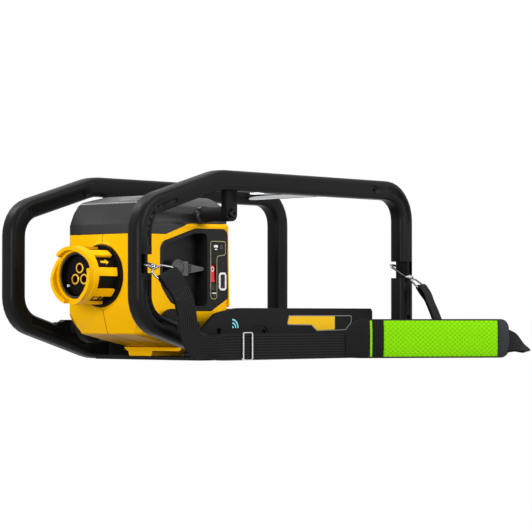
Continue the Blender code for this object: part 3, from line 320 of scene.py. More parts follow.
@dataclass(frozen=True)
class WovenTape(Finish):
    """Woven webbing: yarns that cross over and under, read from the tape's own UV map in metres."""

    warp_mm: float = 1.37
    pick_mm: float = 1.5
    rib_mm: float = 0.0
    rib_phase: float = math.pi
    fibre_mm: float = 0.6
    fibre_share: float = 0.25
    yarn_colour: str = "3a3a3a"
    depth_mm: float = 0.22

    def dress(self, tree: NodeTree, shader: Node) -> None:
        """Adds the crossing yarns to the colour and the relief.

        Args:
            tree: The material's node tree.
            shader: Its shader node.
        """
        place = add_node(tree, "ShaderNodeTexCoord").outputs["UV"]
        warp, pick = (
            add_node(
                tree, "ShaderNodeTexWave", {"Vector": place, "Scale": WAVE_PERIOD * per_metre(size)},
                bands_direction=direction,
            ).outputs[1]
            for size, direction in ((self.warp_mm, "X"), (self.pick_mm, "Y"))
        )
        weave = add_node(tree, "ShaderNodeMath", {0: warp, 1: pick}, operation="MULTIPLY")
        fibre = add_node(
            tree, "ShaderNodeTexNoise", {"Vector": place, "Scale": per_metre(self.fibre_mm), "Detail": 2.0}
        )
        height = add_node(
            tree, "ShaderNodeMath", {0: fibre, 1: self.fibre_share, 2: weave}, operation="MULTIPLY_ADD"
        )
        shade = weave
        if self.rib_mm:
            scale = WAVE_PERIOD * per_metre(self.rib_mm)
            rib = add_node(
                tree, "ShaderNodeTexWave", {"Vector": place, "Scale": scale, "Phase Offset": self.rib_phase},
                bands_direction="X", wave_profile="SIN",
            ).outputs[1]
            half = add_node(tree, "ShaderNodeMath", {0: weave, 1: 0.5, 2: 0.35}, operation="MULTIPLY_ADD")
            shade = add_node(tree, "ShaderNodeMath", {0: rib, 1: half}, operation="MULTIPLY")
        self.tint(tree, shader, shade, self.yarn_colour)
        self.relief(tree, shader, height, self.depth_mm)


@dataclass(frozen=True)
class KnitMesh(Finish):
    """Warp-knitted spacer mesh: rows of small cells, read from the pad's own UV map in metres."""

    cell_mm: float = 2.4
    shade_colour: str = "6fc400"
    shade_share: float = 0.55
    depth_mm: float = 0.35
    sheen: float = 0.1

    def dress(self, tree: NodeTree, shader: Node) -> None:
        """Adds the knitted cells to the colour and the relief.

        Args:
            tree: The material's node tree.
            shader: Its shader node.
        """
        place = add_node(tree, "ShaderNodeTexCoord").outputs["UV"]
        cells = add_node(
            tree, "ShaderNodeTexVoronoi",
            {"Vector": place, "Scale": per_metre(self.cell_mm), "Randomness": 0.25},
        )
        fade = add_node(
            tree, "ShaderNodeMapRange", {0: cells, 1: 0.25, 2: 0.75, 3: 0.0, 4: self.shade_share}
        )
        self.tint(tree, shader, fade, self.shade_colour)
        self.relief(tree, shader, cells, self.depth_mm)
        shader.inputs["Sheen Weight"].default_value = self.sheen


@dataclass(frozen=True)
class PrintedInk(Finish):
    """Pad-printed or moulded-in marking: an opaque film with a faint speckle."""

    speckle_mm: float = 0.5
    speckle_depth_mm: float = 0.01
    worn_colour: str = ""

    def dress(self, tree: NodeTree, shader: Node) -> None:
        """Adds the speckle to the colour and the relief.

        Args:
            tree: The material's node tree.
            shader: Its shader node.
        """
        place = add_node(tree, "ShaderNodeTexCoord").outputs["Object"]
        speckle = add_node(
            tree, "ShaderNodeTexNoise", {"Vector": place, "Scale": per_metre(self.speckle_mm), "Detail": 2.0}
        )
        self.tint(tree, shader, speckle, self.worn_colour or self.colour)
        self.relief(tree, shader, speckle, self.speckle_depth_mm)


# Glass-filled nylon shows a dull, slightly streaky black; ABS a satin sheen; acetal and rubber less of it.
# The mould's grain is drawn coarser than its real 0.1 mm, so that it shows at this distance.
FRAME_NYLON = MouldedPlastic("glass-filled nylon", "111111", 0.40, specular=0.08, mottle_colour="171717")
TRAY_NYLON = MouldedPlastic("impact nylon", "131314", 0.50, specular=0.09, mottle_colour="1a1a1b")
HOUSING_ABS = MouldedPlastic(
    "satin yellow ABS", "ffbc00", 0.38, specular=0.08, grain_mm=0.9, grain_depth_mm=0.02,
    mottle_colour="ffc300",
)
# Painted shade: a darker yellow for the rounded faces of the parting groove, where shade falls between the
# halves
PARTING_SHADE = MouldedPlastic("painted shade in the yellow parting groove", "7a5200", 0.6, specular=0.05)
COVER_ABS = MouldedPlastic(
    "textured grey ABS", "1b1b1c", 0.30, specular=0.36, grain_depth_mm=0.04, mottle_colour="212122"
)
PANEL_ABS = MouldedPlastic("black ABS", "1d1d1d", 0.42, specular=0.10, mottle_colour="242424")
SOCKET_PBT = MouldedPlastic("black glass-filled PBT", "0c0b0a", 0.45, specular=0.06, mottle_colour="100f0e")
LEVER_ACETAL = MouldedPlastic(
    "grey acetal", "545454", 0.40, specular=0.2, grain_depth_mm=0.02, mottle_colour="5c5c5c"
)
SWITCH_RED = MouldedPlastic("red polycarbonate", "ee2445", 0.3, grain_depth_mm=0.01, mottle_colour="f23350")
SWITCH_BLACK = MouldedPlastic("black polycarbonate", "151515", 0.3, specular=0.2, grain_depth_mm=0.01)
BEZEL_ABS = MouldedPlastic("white ABS", "f2f2f0", 0.36, grain_depth_mm=0.01, mottle_colour="f6f6f4")
LENS = MouldedPlastic("smoked polycarbonate", "0b0c0f", 0.14, grain_depth_mm=0.002, specular=0.3)
RING_GREY = MouldedPlastic("grey elastomer", "2a2a30", 0.5, grain_depth_mm=0.02, mottle_colour="323239")
RUBBER = MouldedPlastic(
    "moulded natural rubber", "141414", 0.72, specular=0.12, grain_mm=1.2, mottle_colour="1b1b1b"
)
LEAD = MouldedPlastic("silicone insulation", "a3231f", 0.5, grain_depth_mm=0.01, mottle_colour="b12a25")
# Ground rod, plated wire and turned brass: fine marks along the way each was worked
ROD_STEEL = WorkedMetal("ground and polished steel", "b9babc", 0.12, mark_mm=(0.6, 30.0, 0.6))
BOLT_STEEL = WorkedMetal("black-oxide steel", "1b1b1c", 0.42, metallic=0.85, mark_mm=(1.2, 1.2, 1.2))
CHROME = WorkedMetal("chrome-plated steel", "d4d5d7", 0.10, gloss_spread=0.03, mark_mm=(3.0, 3.0, 3.0))
# Painted reflection: the hooks' chrome is drawn darker, standing for the dark surroundings that their wires
# reflect
SHADED_CHROME = WorkedMetal("chrome with painted dark reflections", "7e7f82", 0.16, gloss_spread=0.05, mark_mm=(3.0, 3.0, 3.0))
BRASS = WorkedMetal("machined brass", "f7c64a", 0.3, mark_mm=(6.0, 0.4, 0.4))
# Painted shade: a dark brass for the contacts' bores, which lie in shade
BORE_SHADE_BRASS = WorkedMetal("unlit brass", "84551f", 0.5, mark_mm=(6.0, 0.4, 0.4))
ALUMINIUM = WorkedMetal("extruded aluminium", "b3b6ba", 0.38, mark_mm=(40.0, 0.5, 0.5))
# Webbing shows a rib for each bundle of warp yarns, with the picks between; its 0.5 mm yarns are too fine.
# The pad's nylon is a flat coarse weave, its coated end smooth and its mesh knitted in cells.
WEBBING = WovenTape("woven polypropylene", "0d0d0d", 0.8, specular=0.10, rib_mm=4.02, yarn_colour="363636")
PAD_NYLON = WovenTape(
    "woven nylon", "0f0f0f", 0.75, specular=0.10, warp_mm=3.2, pick_mm=3.2, yarn_colour="242424"
)
PAD_END_TPU = MouldedPlastic(
    "coated nylon", "25262b", 0.6, specular=0.14, grain_mm=1.0, mottle_colour="2e2f35"
)
LIME_MESH = KnitMesh("lime spacer mesh", "89d800", 0.72, specular=0.06)
# Painted shade: a darker lime for the perforation discs, standing for the shade inside each pit
PIT_SHADE_LIME = KnitMesh("lime mesh in shade", "73c000", 0.8, specular=0.04, shade_colour="6fbc00")
BINDING = WovenTape("grosgrain binding", "0d0d0e", 0.8, specular=0.02, warp_mm=2.4, pick_mm=1.1)
THREAD = PrintedInk(
    "bonded polyester thread", "29292b", 0.7, specular=0.2, speckle_mm=0.3, worn_colour="363638"
)
# Inks and films: opaque, with the faint speckle of the surface under them
INK_YELLOW = PrintedInk("yellow ink", "ffca08", 0.5, worn_colour="f6be00")
INK_WHITE = PrintedInk("white ink", "f4f4f2", 0.45, worn_colour="e6e6e4")
INK_GREY = PrintedInk("grey ink", "8d8f90", 0.45, worn_colour="7c7e80")
INK_KHAKI = PrintedInk("khaki ink", "b3ae78", 0.5, worn_colour="a5a06a")
INK_CYAN = PrintedInk("cyan ink", "98f0f8", 0.45, worn_colour="7adbe6")
INK_RED = PrintedInk("red ink", "d2222f", 0.4, worn_colour="bd1c29")
INK_SLATE = PrintedInk("slate ink", "575666", 0.45, worn_colour="4c4b5a")
# Painted shade: a dark film on the lever's pointer, standing for the shade on its sloped face
LEVER_SHADE_FILM = PrintedInk("painted shade on the lever pointer", "262626", 0.5, specular=0.2, worn_colour="2d2d2d")
BOARD = PrintedInk("solder mask on glass epoxy", "1f5a36", 0.35, speckle_mm=2.0, worn_colour="276a41")
SLEEVE = PrintedInk("shrink sleeve", "243a66", 0.35, speckle_mm=4.0, worn_colour="2a4275")


# Mesh helpers


def new_object(name: str, data: bpy.types.ID) -> bpy.types.Object:
    """Puts a mesh, lamp or camera into the scene.

    Args:
        name: Name of the object.
        data: What it holds.

    Returns:
        The new object.
    """
    made = bpy.data.objects.new(name, data)
    bpy.context.scene.collection.objects.link(made)
    return made


def add_piece(
    name: str, mesh: Mesh, finishes: Sequence[Finish], body: Body, slot: Slot, *replaced: str
) -> bpy.types.Object:
    """Adds a finished piece to the scene.

    Args:
        name: Name of the piece.
        mesh: Its mesh, in the frame's coordinates.
        finishes: One finish for each of the mesh's material indices.
        body: The body that it rides on.
        slot: The record's slot; not used.
        *replaced: CAD nodes that it stands for.

    Returns:
        The new object.
    """
    piece = new_object(name, mesh)
    for finish in finishes:
        mesh.materials.append(finish.material())
    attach(piece, body.value)
    if replaced:
        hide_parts(*replaced)
    LOG.info("%s: %d faces on %s", name, len(mesh.polygons), body.value)
    return piece


def finish_mesh(shape: bmesh.types.BMesh, name: str, smooth_below: float = SMOOTH_BELOW) -> Mesh:
    """Turns a bmesh into a smooth-shaded mesh with its sharp edges kept.

    Args:
        shape: The bmesh, which is freed.
        name: Name of the mesh.
        smooth_below: Angle between faces up to which an edge is shaded smooth.

    Returns:
        The mesh.
    """
    mesh = bpy.data.meshes.new(name)
    shape.to_mesh(mesh)
    shape.free()
    mesh.shade_smooth()
    mesh.set_sharp_from_angle(angle=smooth_below)
    return mesh


def plain_mesh(carrier: bpy.types.Object, name: str) -> Mesh:
    """Evaluates an object's modifiers into a plain mesh and removes the object.

    Args:
        carrier: The object with its modifiers.
        name: Name of the new mesh.

    Returns:
        The evaluated mesh.
    """
    graph = bpy.context.evaluated_depsgraph_get()
    mesh = bpy.data.meshes.new_from_object(carrier.evaluated_get(graph), depsgraph=graph)
    mesh.name = name
    bpy.data.objects.remove(carrier)
    return mesh


def weighted(mesh: Mesh) -> Mesh:
    """Gives large faces the say over the shading of the small rounded edges beside them.

    Args:
        mesh: A smooth-shaded mesh.

    Returns:
        A new mesh with its own normals.
    """
    carrier = new_object("carrier", mesh)
    modifier = carrier.modifiers.new("even shading", "WEIGHTED_NORMAL")
    modifier.keep_sharp = True
    return plain_mesh(carrier, mesh.name)


def refined(
    node: bpy.types.Object, edge_mm: float, smooth_below: float = SMOOTH_BELOW,
    chosen: Callable[[bmesh.types.BMEdge], bool] | None = None,
) -> Mesh:
    """Copies a CAD node's mesh, merges its loose triangles and rounds its sharp edges.

    Args:
        node: The CAD node.
        edge_mm: Width of the rounding in millimetres, or zero for none.
        smooth_below: Angle between faces up to which an edge is shaded smooth.
        chosen: Test for the edges to round, where it isn't all sharp ones; these take the second finish.

    Returns:
        The refined mesh.
    """
    shape = bmesh.new()
    shape.from_mesh(node.data)
    bmesh.ops.remove_doubles(shape, verts=shape.verts, dist=WELD)
    bmesh.ops.dissolve_limit(
        shape, angle_limit=FLAT_BELOW, verts=shape.verts, edges=shape.edges, use_dissolve_boundaries=False
    )
    if edge_mm:
        sharp = [e for e in shape.edges if e.is_manifold and e.calc_face_angle() > SMOOTH_BELOW]
        rounding = bmesh.ops.bevel(
            shape, geom=[e for e in sharp if chosen is None or chosen(e)], affect="EDGES",
            offset=edge_mm * MM, offset_type="OFFSET", segments=2, profile=0.5, clamp_overlap=True,
            miter_outer="ARC",
        )
        for face in rounding["faces"]:
            face.material_index = int(chosen is not None)
    bmesh.ops.triangulate(shape, faces=[f for f in shape.faces if len(f.verts) > 4])
    return weighted(finish_mesh(shape, node.name, smooth_below))


def join_loops(
    shape: bmesh.types.BMesh, first: Sequence[bmesh.types.BMVert], second: Sequence[bmesh.types.BMVert]
) -> list[bmesh.types.BMFace]:
    """Closes the band between two loops of points.

    Args:
        shape: The bmesh that holds the points.
        first: Points of one loop in order.
        second: As many points of the other.

    Returns:
        The new faces, in the loops' order.
    """
    pairs = list(zip(first, second))
    return [shape.faces.new((a, c, d, b)) for (a, b), (c, d) in zip(pairs, pairs[1:] + pairs[:1])]


def spun(profile: Sequence[Point], place: Place, steps: int) -> bmesh.types.BMesh:
    """Spins a closed profile into a ring.

    Args:
        profile: Points of radius and height.
        place: Maps angle, radius and height to a point.
        steps: Steps round the ring.

    Returns:
        The ring.
    """
    shape = bmesh.new()
    rows = []
    for k in range(steps):
        angle = 2 * math.pi * k / steps
        rows.append([shape.verts.new(place(angle, radius, height)) for radius, height in profile])
    for first, second in zip(rows, rows[1:] + rows[:1]):
        join_loops(shape, first, second)
    bmesh.ops.recalc_face_normals(shape, faces=shape.faces)
    return shape


def smooth_path(points: Sequence[Vector], per_span: int) -> list[Vector]:
    """Runs a smooth curve through points, with each slope taken from the neighbours.

    Args:
        points: The points to pass through.
        per_span: Number of steps between two points.

    Returns:
        Points along the curve.
    """
    ends = [points[0] * 2 - points[1], *points, points[-1] * 2 - points[-2]]
    found = []
    for a, b, c, d in zip(ends, ends[1:], ends[2:], ends[3:]):
        for k in range(per_span):
            t = k / per_span
            found.append(
                b * (2 * t**3 - 3 * t**2 + 1) + (c - a) / 2 * (t**3 - 2 * t**2 + t)
                + c * (3 * t**2 - 2 * t**3) + (d - b) / 2 * (t**3 - t**2)
            )
    return [*found, points[-1].copy()]


def rounded(corners: Sequence[Triple], steps: int = 5) -> list[Point]:
    """Rounds the corners of a closed flat outline.

    Args:
        corners: Corners as x, y and radius.
        steps: Steps of each arc.

    Returns:
        Points of the outline.
    """
    points: list[Point] = []
    count = len(corners)
    for index, (x, y, radius) in enumerate(corners):
        corner = Vector((x, y))
        if not radius:
            points.append((x, y))
            continue
        before = (Vector(corners[index - 1][:2]) - corner).normalized()
        after = (Vector(corners[(index + 1) % count][:2]) - corner).normalized()
        half = before.angle(after) / 2
        centre = corner + (before + after).normalized() * radius / math.sin(half)
        arm = corner + before * radius / math.tan(half) - centre
        turn = math.copysign(math.pi - 2 * half, (-before).cross(after))
        for k in range(steps + 1):
            spoke = arm.copy()
            spoke.rotate(Matrix.Rotation(turn * k / steps, 2))
            points.append(tuple(centre + spoke))
    return points


def arc(centre: Point, radius: float, start: float, end: float, steps: int) -> list[Point]:
    """Points of an arc between two angles in degrees."""
    turns = [math.radians(start + (end - start) * k / steps) for k in range(steps + 1)]
    return [(centre[0] + radius * math.cos(a), centre[1] + radius * math.sin(a)) for a in turns]


def circle(centre: Point, radius: float, steps: int) -> list[Point]:
    """Points of a circle, each once."""
    return arc(centre, radius, 0, 360, steps)[:-1]


class MarkSheet:
    """Flat marks of one ink, each a thin closed film laid on a surface."""

    def __init__(self, place: Place, film_mm: float = 0.12) -> None:
        """Starts an empty sheet.

        Args:
            place: Maps a flat position and a height to a point on the surface.
            film_mm: Thickness of the film.
        """
        self.place = place
        self.film = film_mm * MM
        self.shape = bmesh.new()

    def loop(self, outline: Sequence[Point], height: float) -> list[bmesh.types.BMVert]:
        """Adds the points of an outline at a height."""
        return [self.shape.verts.new(self.place(x, y, height)) for x, y in outline]

    def fill(self, outline: Sequence[Point]) -> MarkSheet:
        """Adds a filled outline.

        Args:
            outline: Points of a closed outline.

        Returns:
            The sheet itself.
        """
        low, high = self.loop(outline, 0.0), self.loop(outline, self.film)
        self.shape.faces.new(low)
        self.shape.faces.new(high)
        join_loops(self.shape, low, high)
        return self

    def line(self, path: Sequence[Point], width: float, closed: bool = False) -> MarkSheet:
        """Adds a line of constant width.

        Args:
            path: Points along the line's middle.
            width: Its width.
            closed: Whether it joins its own start.

        Returns:
            The sheet itself.
        """
        points = [Vector(point) for point in path]
        count = len(points)
        left, right = [], []
        for index, point in enumerate(points):
            before = points[index - 1] if closed or index else point * 2 - points[1]
            after = points[(index + 1) % count] if closed or index < count - 1 else point * 2 - points[-2]
            arriving, leaving = (point - before).normalized(), (after - point).normalized()
            normal = Vector((-arriving.y - leaving.y, arriving.x + leaving.x)).normalized()
            mitre = max(SHORTEST_MITRE, normal.dot(Vector((-arriving.y, arriving.x))))
            shift = normal * (width / 2 / mitre)
            left.append(tuple(point + shift))
            right.append(tuple(point - shift))
        if not closed:
            return self.fill([*left, *reversed(right)])
        sides = ((left, 0.0), (right, 0.0), (right, self.film), (left, self.film))
        loops = [self.loop(side, height) for side, height in sides]
        for first, second in zip(loops, loops[1:] + loops[:1]):
            join_loops(self.shape, first, second)
        return self

    def mesh(self, name: str) -> Mesh:
        """Closes the sheet.

        Args:
            name: Name of the mesh.

        Returns:
            The mesh of all marks on the sheet.
        """
        bmesh.ops.recalc_face_normals(self.shape, faces=self.shape.faces)
        bmesh.ops.triangulate(self.shape, faces=[f for f in self.shape.faces if len(f.verts) > 4])
        bmesh.ops.recalc_face_normals(self.shape, faces=self.shape.faces)
        return finish_mesh(self.shape, name)


# Repeated pieces


class Repeat(ABC):
    """Geometry Nodes that lay one small shape at every point of a carrier, and make it plain mesh."""

    title = "repeat"
    sizes: dict[str, float] = {}

    def __init__(self, finish: Finish, **sizes: float) -> None:
        """Takes the finish, and values in metres for the tree's named inputs."""
        self.finish = finish
        self.values = {**self.sizes, **sizes}

    @abstractmethod
    def shape(self, tree: NodeTree, source: Node) -> Socket:
        """Builds the small shape along its own Z.

        Args:
            tree: The node tree.
            source: The group's input node.

        Returns:
            Socket of the shape's geometry.
        """

    def tree(self) -> NodeTree:
        """Builds the node tree.

        Returns:
            The tree, with its sizes as named inputs.
        """
        tree = bpy.data.node_groups.new(self.title, "GeometryNodeTree")
        tree.interface.new_socket("Geometry", in_out="INPUT", socket_type="NodeSocketGeometry")
        for name in self.values:
            tree.interface.new_socket(name, in_out="INPUT", socket_type="NodeSocketFloat")
        tree.interface.new_socket("Geometry", in_out="OUTPUT", socket_type="NodeSocketGeometry")
        source = add_node(tree, "NodeGroupInput")
        real = add_node(tree, "GeometryNodeRealizeInstances", {"Geometry": self.drawn(tree, source)})
        material = self.finish.material()
        dressed = add_node(tree, "GeometryNodeSetMaterial", {"Geometry": real, "Material": material})
        add_node(tree, "NodeGroupOutput", {0: dressed})
        return tree

    def drawn(self, tree: NodeTree, source: Node) -> Socket:
        """Lays the small shape at each point of the carrier.

        Args:
            tree: The node tree.
            source: The group's input node.

        Returns:
            Socket of the laid shapes.
        """
        facing, along = (
            add_node(tree, "GeometryNodeInputNamedAttribute", {0: title}, data_type="FLOAT_VECTOR")
            for title in ("facing", "along")
        )
        upright = add_node(tree, "FunctionNodeAlignRotationToVector", {"Vector": facing}, axis="Z")
        turned = add_node(
            tree, "FunctionNodeAlignRotationToVector", {"Rotation": upright, "Vector": along},
            axis="X", pivot_axis="Z",
        )
        points = add_node(tree, "GeometryNodeMeshToPoints", {"Mesh": source})
        return add_node(
            tree, "GeometryNodeInstanceOnPoints",
            {"Points": points, "Instance": self.shape(tree, source), "Rotation": turned},
        ).outputs[0]

    def lay(self, name: str, spots: Sequence[Spot]) -> Mesh:
        """Lays the shape at each spot.

        Args:
            name: Name of the mesh.
            spots: Place, facing direction and direction along, for each copy.

        Returns:
            A plain mesh of all copies.
        """
        carrier_mesh = bpy.data.meshes.new(name)
        carrier_mesh.from_pydata([spot[0] for spot in spots], [], [])
        for index, title in ((1, "facing"), (2, "along")):
            layer = carrier_mesh.attributes.new(title, "FLOAT_VECTOR", "POINT")
            layer.data.foreach_set("vector", [c for spot in spots for c in spot[index]])
        return self.made(name, carrier_mesh)

    def made(self, name: str, carrier_mesh: Mesh) -> Mesh:
        """Runs the tree on a carrier.

        Args:
            name: Name of the mesh.
            carrier_mesh: The points or edges that the tree works on.

        Returns:
            The result as a plain mesh.
        """
        carrier = new_object(name, carrier_mesh)
        modifier = carrier.modifiers.new(self.title, "NODES")
        modifier.node_group = self.tree()
        for item in modifier.node_group.interface.items_tree:
            if item.in_out == "INPUT" and item.name in self.values:
                modifier[item.identifier] = self.values[item.name]
        mesh = plain_mesh(carrier, name)
        mesh.materials.clear()
        mesh.shade_smooth()
        mesh.set_sharp_from_angle(angle=SMOOTH_BELOW)
        return mesh


class CapScrews(Repeat):
    """Button-head cap screws with a hexagon socket."""

    title = "cap screws"
    sizes = {
        "Head Radius": 7 * MM, "Head Height": 4.5 * MM, "Socket Radius": 2.9 * MM, "Socket Depth": 2.6 * MM,
    }
    rim_share = 0.82

    def shape(self, tree: NodeTree, source: Node) -> Socket:
        """Cuts a hexagon socket into a chamfered head.

        Args:
            tree: The node tree.
            source: The group's input node.

        Returns:
            Socket of the head's geometry.
        """
        radius, height, socket, depth = source.outputs[1:5]
        rim = add_node(tree, "ShaderNodeMath", {0: radius, 1: self.rim_share}, operation="MULTIPLY")
        half = add_node(tree, "ShaderNodeMath", {0: height, 1: 0.5}, operation="MULTIPLY")
        tier = {"Vertices": 40, "Side Segments": 1, "Radius Bottom": radius, "Depth": half}
        barrel = add_node(tree, "GeometryNodeMeshCone", {**tier, "Radius Top": radius})
        crown = add_node(tree, "GeometryNodeMeshCone", {**tier, "Radius Top": rim})
        lift = add_node(tree, "ShaderNodeCombineXYZ", {"Z": half})
        raised = add_node(tree, "GeometryNodeTransform", {"Geometry": crown, "Translation": lift})
        head = add_node(tree, "GeometryNodeMeshBoolean", {"Mesh 2": raised}, operation="UNION")
        tree.links.new(barrel.outputs[0], head.inputs["Mesh 2"])
        key = add_node(
            tree, "GeometryNodeMeshCone",
            {"Vertices": 6, "Radius Top": socket, "Radius Bottom": socket, "Depth": height},
        )
        sink = add_node(tree, "ShaderNodeMath", {0: height, 1: depth}, operation="SUBTRACT")
        dip = add_node(tree, "ShaderNodeCombineXYZ", {"Z": sink})
        lowered = add_node(tree, "GeometryNodeTransform", {"Geometry": key, "Translation": dip})
        return add_node(
            tree, "GeometryNodeMeshBoolean", {0: head, "Mesh 2": lowered}, operation="DIFFERENCE"
        ).outputs[0]


class Stitches(Repeat):
    """Lock stitches: short rounded lengths of thread."""

    title = "lock stitches"
    sizes = {"Thread Radius": 0.45 * MM, "Stitch Length": 2.6 * MM}

    def shape(self, tree: NodeTree, source: Node) -> Socket:
        """Stretches a small ball along X.

        Args:
            tree: The node tree.
            source: The group's input node.

        Returns:
            Socket of the stitch's geometry.
        """
        radius, length = source.outputs[1:3]
        half = add_node(tree, "ShaderNodeMath", {0: length, 1: 0.5}, operation="MULTIPLY")
        ball = add_node(tree, "GeometryNodeMeshUVSphere", {"Segments": 8, "Rings": 6, "Radius": 1.0})
        size = add_node(tree, "ShaderNodeCombineXYZ", {"X": half, "Y": radius, "Z": radius})
        return add_node(tree, "GeometryNodeTransform", {"Geometry": ball, "Scale": size}).outputs[0]


class Perforations(Repeat):
    """Small pits of a knitted mesh, each a flat darker disc set in the surface, as painted shade in the pit.
    """

    title = "mesh perforations"
    sizes = {"Pit Radius": 1.9 * MM, "Pit Depth": 0.3 * MM}

    def shape(self, tree: NodeTree, source: Node) -> Socket:
        """A low six-sided cylinder."""
        size = {"Radius": source.outputs[1], "Depth": source.outputs[2]}
        return add_node(tree, "GeometryNodeMeshCylinder", {"Vertices": 6, **size}).outputs[0]


class Wire(Repeat):
    """A bent wire along a path of straight lengths, with round bends."""

    title = "bent wire"
    sizes = {"Wire Radius": 1.6 * MM, "Bend Radius": 3.0 * MM}

    def shape(self, tree: NodeTree, source: Node) -> Socket:
        """Rounds the carrier's corners and draws the wire's round section along it.

        Args:
            tree: The node tree.
            source: The group's input node.

        Returns:
            Socket of the wire's geometry.
        """
        radius, bend = source.outputs[1:3]
        path = add_node(tree, "GeometryNodeMeshToCurve", {"Mesh": source})
        bent = add_node(
            tree, "GeometryNodeFilletCurve",
            {"Curve": path, "Radius": bend, "Count": 8, "Limit Radius": True}, mode="POLY",
        )
        section = add_node(tree, "GeometryNodeCurvePrimitiveCircle", {"Resolution": 14, "Radius": radius})
        return add_node(
            tree, "GeometryNodeCurveToMesh", {"Curve": bent, "Profile Curve": section, "Fill Caps": True}
        ).outputs[0]

    def drawn(self, tree: NodeTree, source: Node) -> Socket:
        """The wire itself, which isn't laid at points."""
        return self.shape(tree, source)

    def ring(self, name: str, corners: Sequence[Vector]) -> Mesh:
        """Bends a closed ring.

        Args:
            name: Name of the mesh.
            corners: Its corners in order.

        Returns:
            The ring as a plain mesh.
        """
        carrier_mesh = bpy.data.meshes.new(name)
        count = len(corners)
        carrier_mesh.from_pydata(corners, [(k, (k + 1) % count) for k in range(count)], [])
        return self.made(name, carrier_mesh)


# Sub-assemblies


@dataclass
class Assembly(ABC):
    """A sub-assembly that dresses its CAD nodes and adds its own pieces."""

    nodes: dict[str, bpy.types.Object]

    @abstractmethod
    def build(self) -> None:
        """Makes and dresses every piece of the sub-assembly."""

    def paint(self, finish: Finish, *names: str) -> None:
        """Gives CAD nodes that stay as they are their finish.

        Args:
            finish: The finish.
            *names: The nodes.
        """
        for name in names:
            materials = self.nodes[name].data.materials
            materials.clear()
            materials.append(finish.material())
            LOG.info("%s: painted with %s", name, finish.name)

    def refine(
        self, name: str, finish: Finish, slot: Slot, edge_mm: float, body: Body = Body.CHASSIS
    ) -> None:
        """Replaces a CAD node by a copy with merged faces and rounded edges."""
        add_piece(f"{name}_skin", refined(self.nodes[name], edge_mm), [finish], body, slot, name)

    def mark(self, name: str, sheet: MarkSheet, ink: Finish, slot: Slot, body: Body = Body.CHASSIS) -> None:
        """Adds the marks of a sheet as a piece of their own."""
        add_piece(name, sheet.mesh(name), [ink], body, slot)


@dataclass(frozen=True)
class ScrewSet:
    """Screws of one size over the same bolts of both side frames."""

    name: str
    face_y: float
    radius: float
    height: float
    bolts: dict[str, Point]


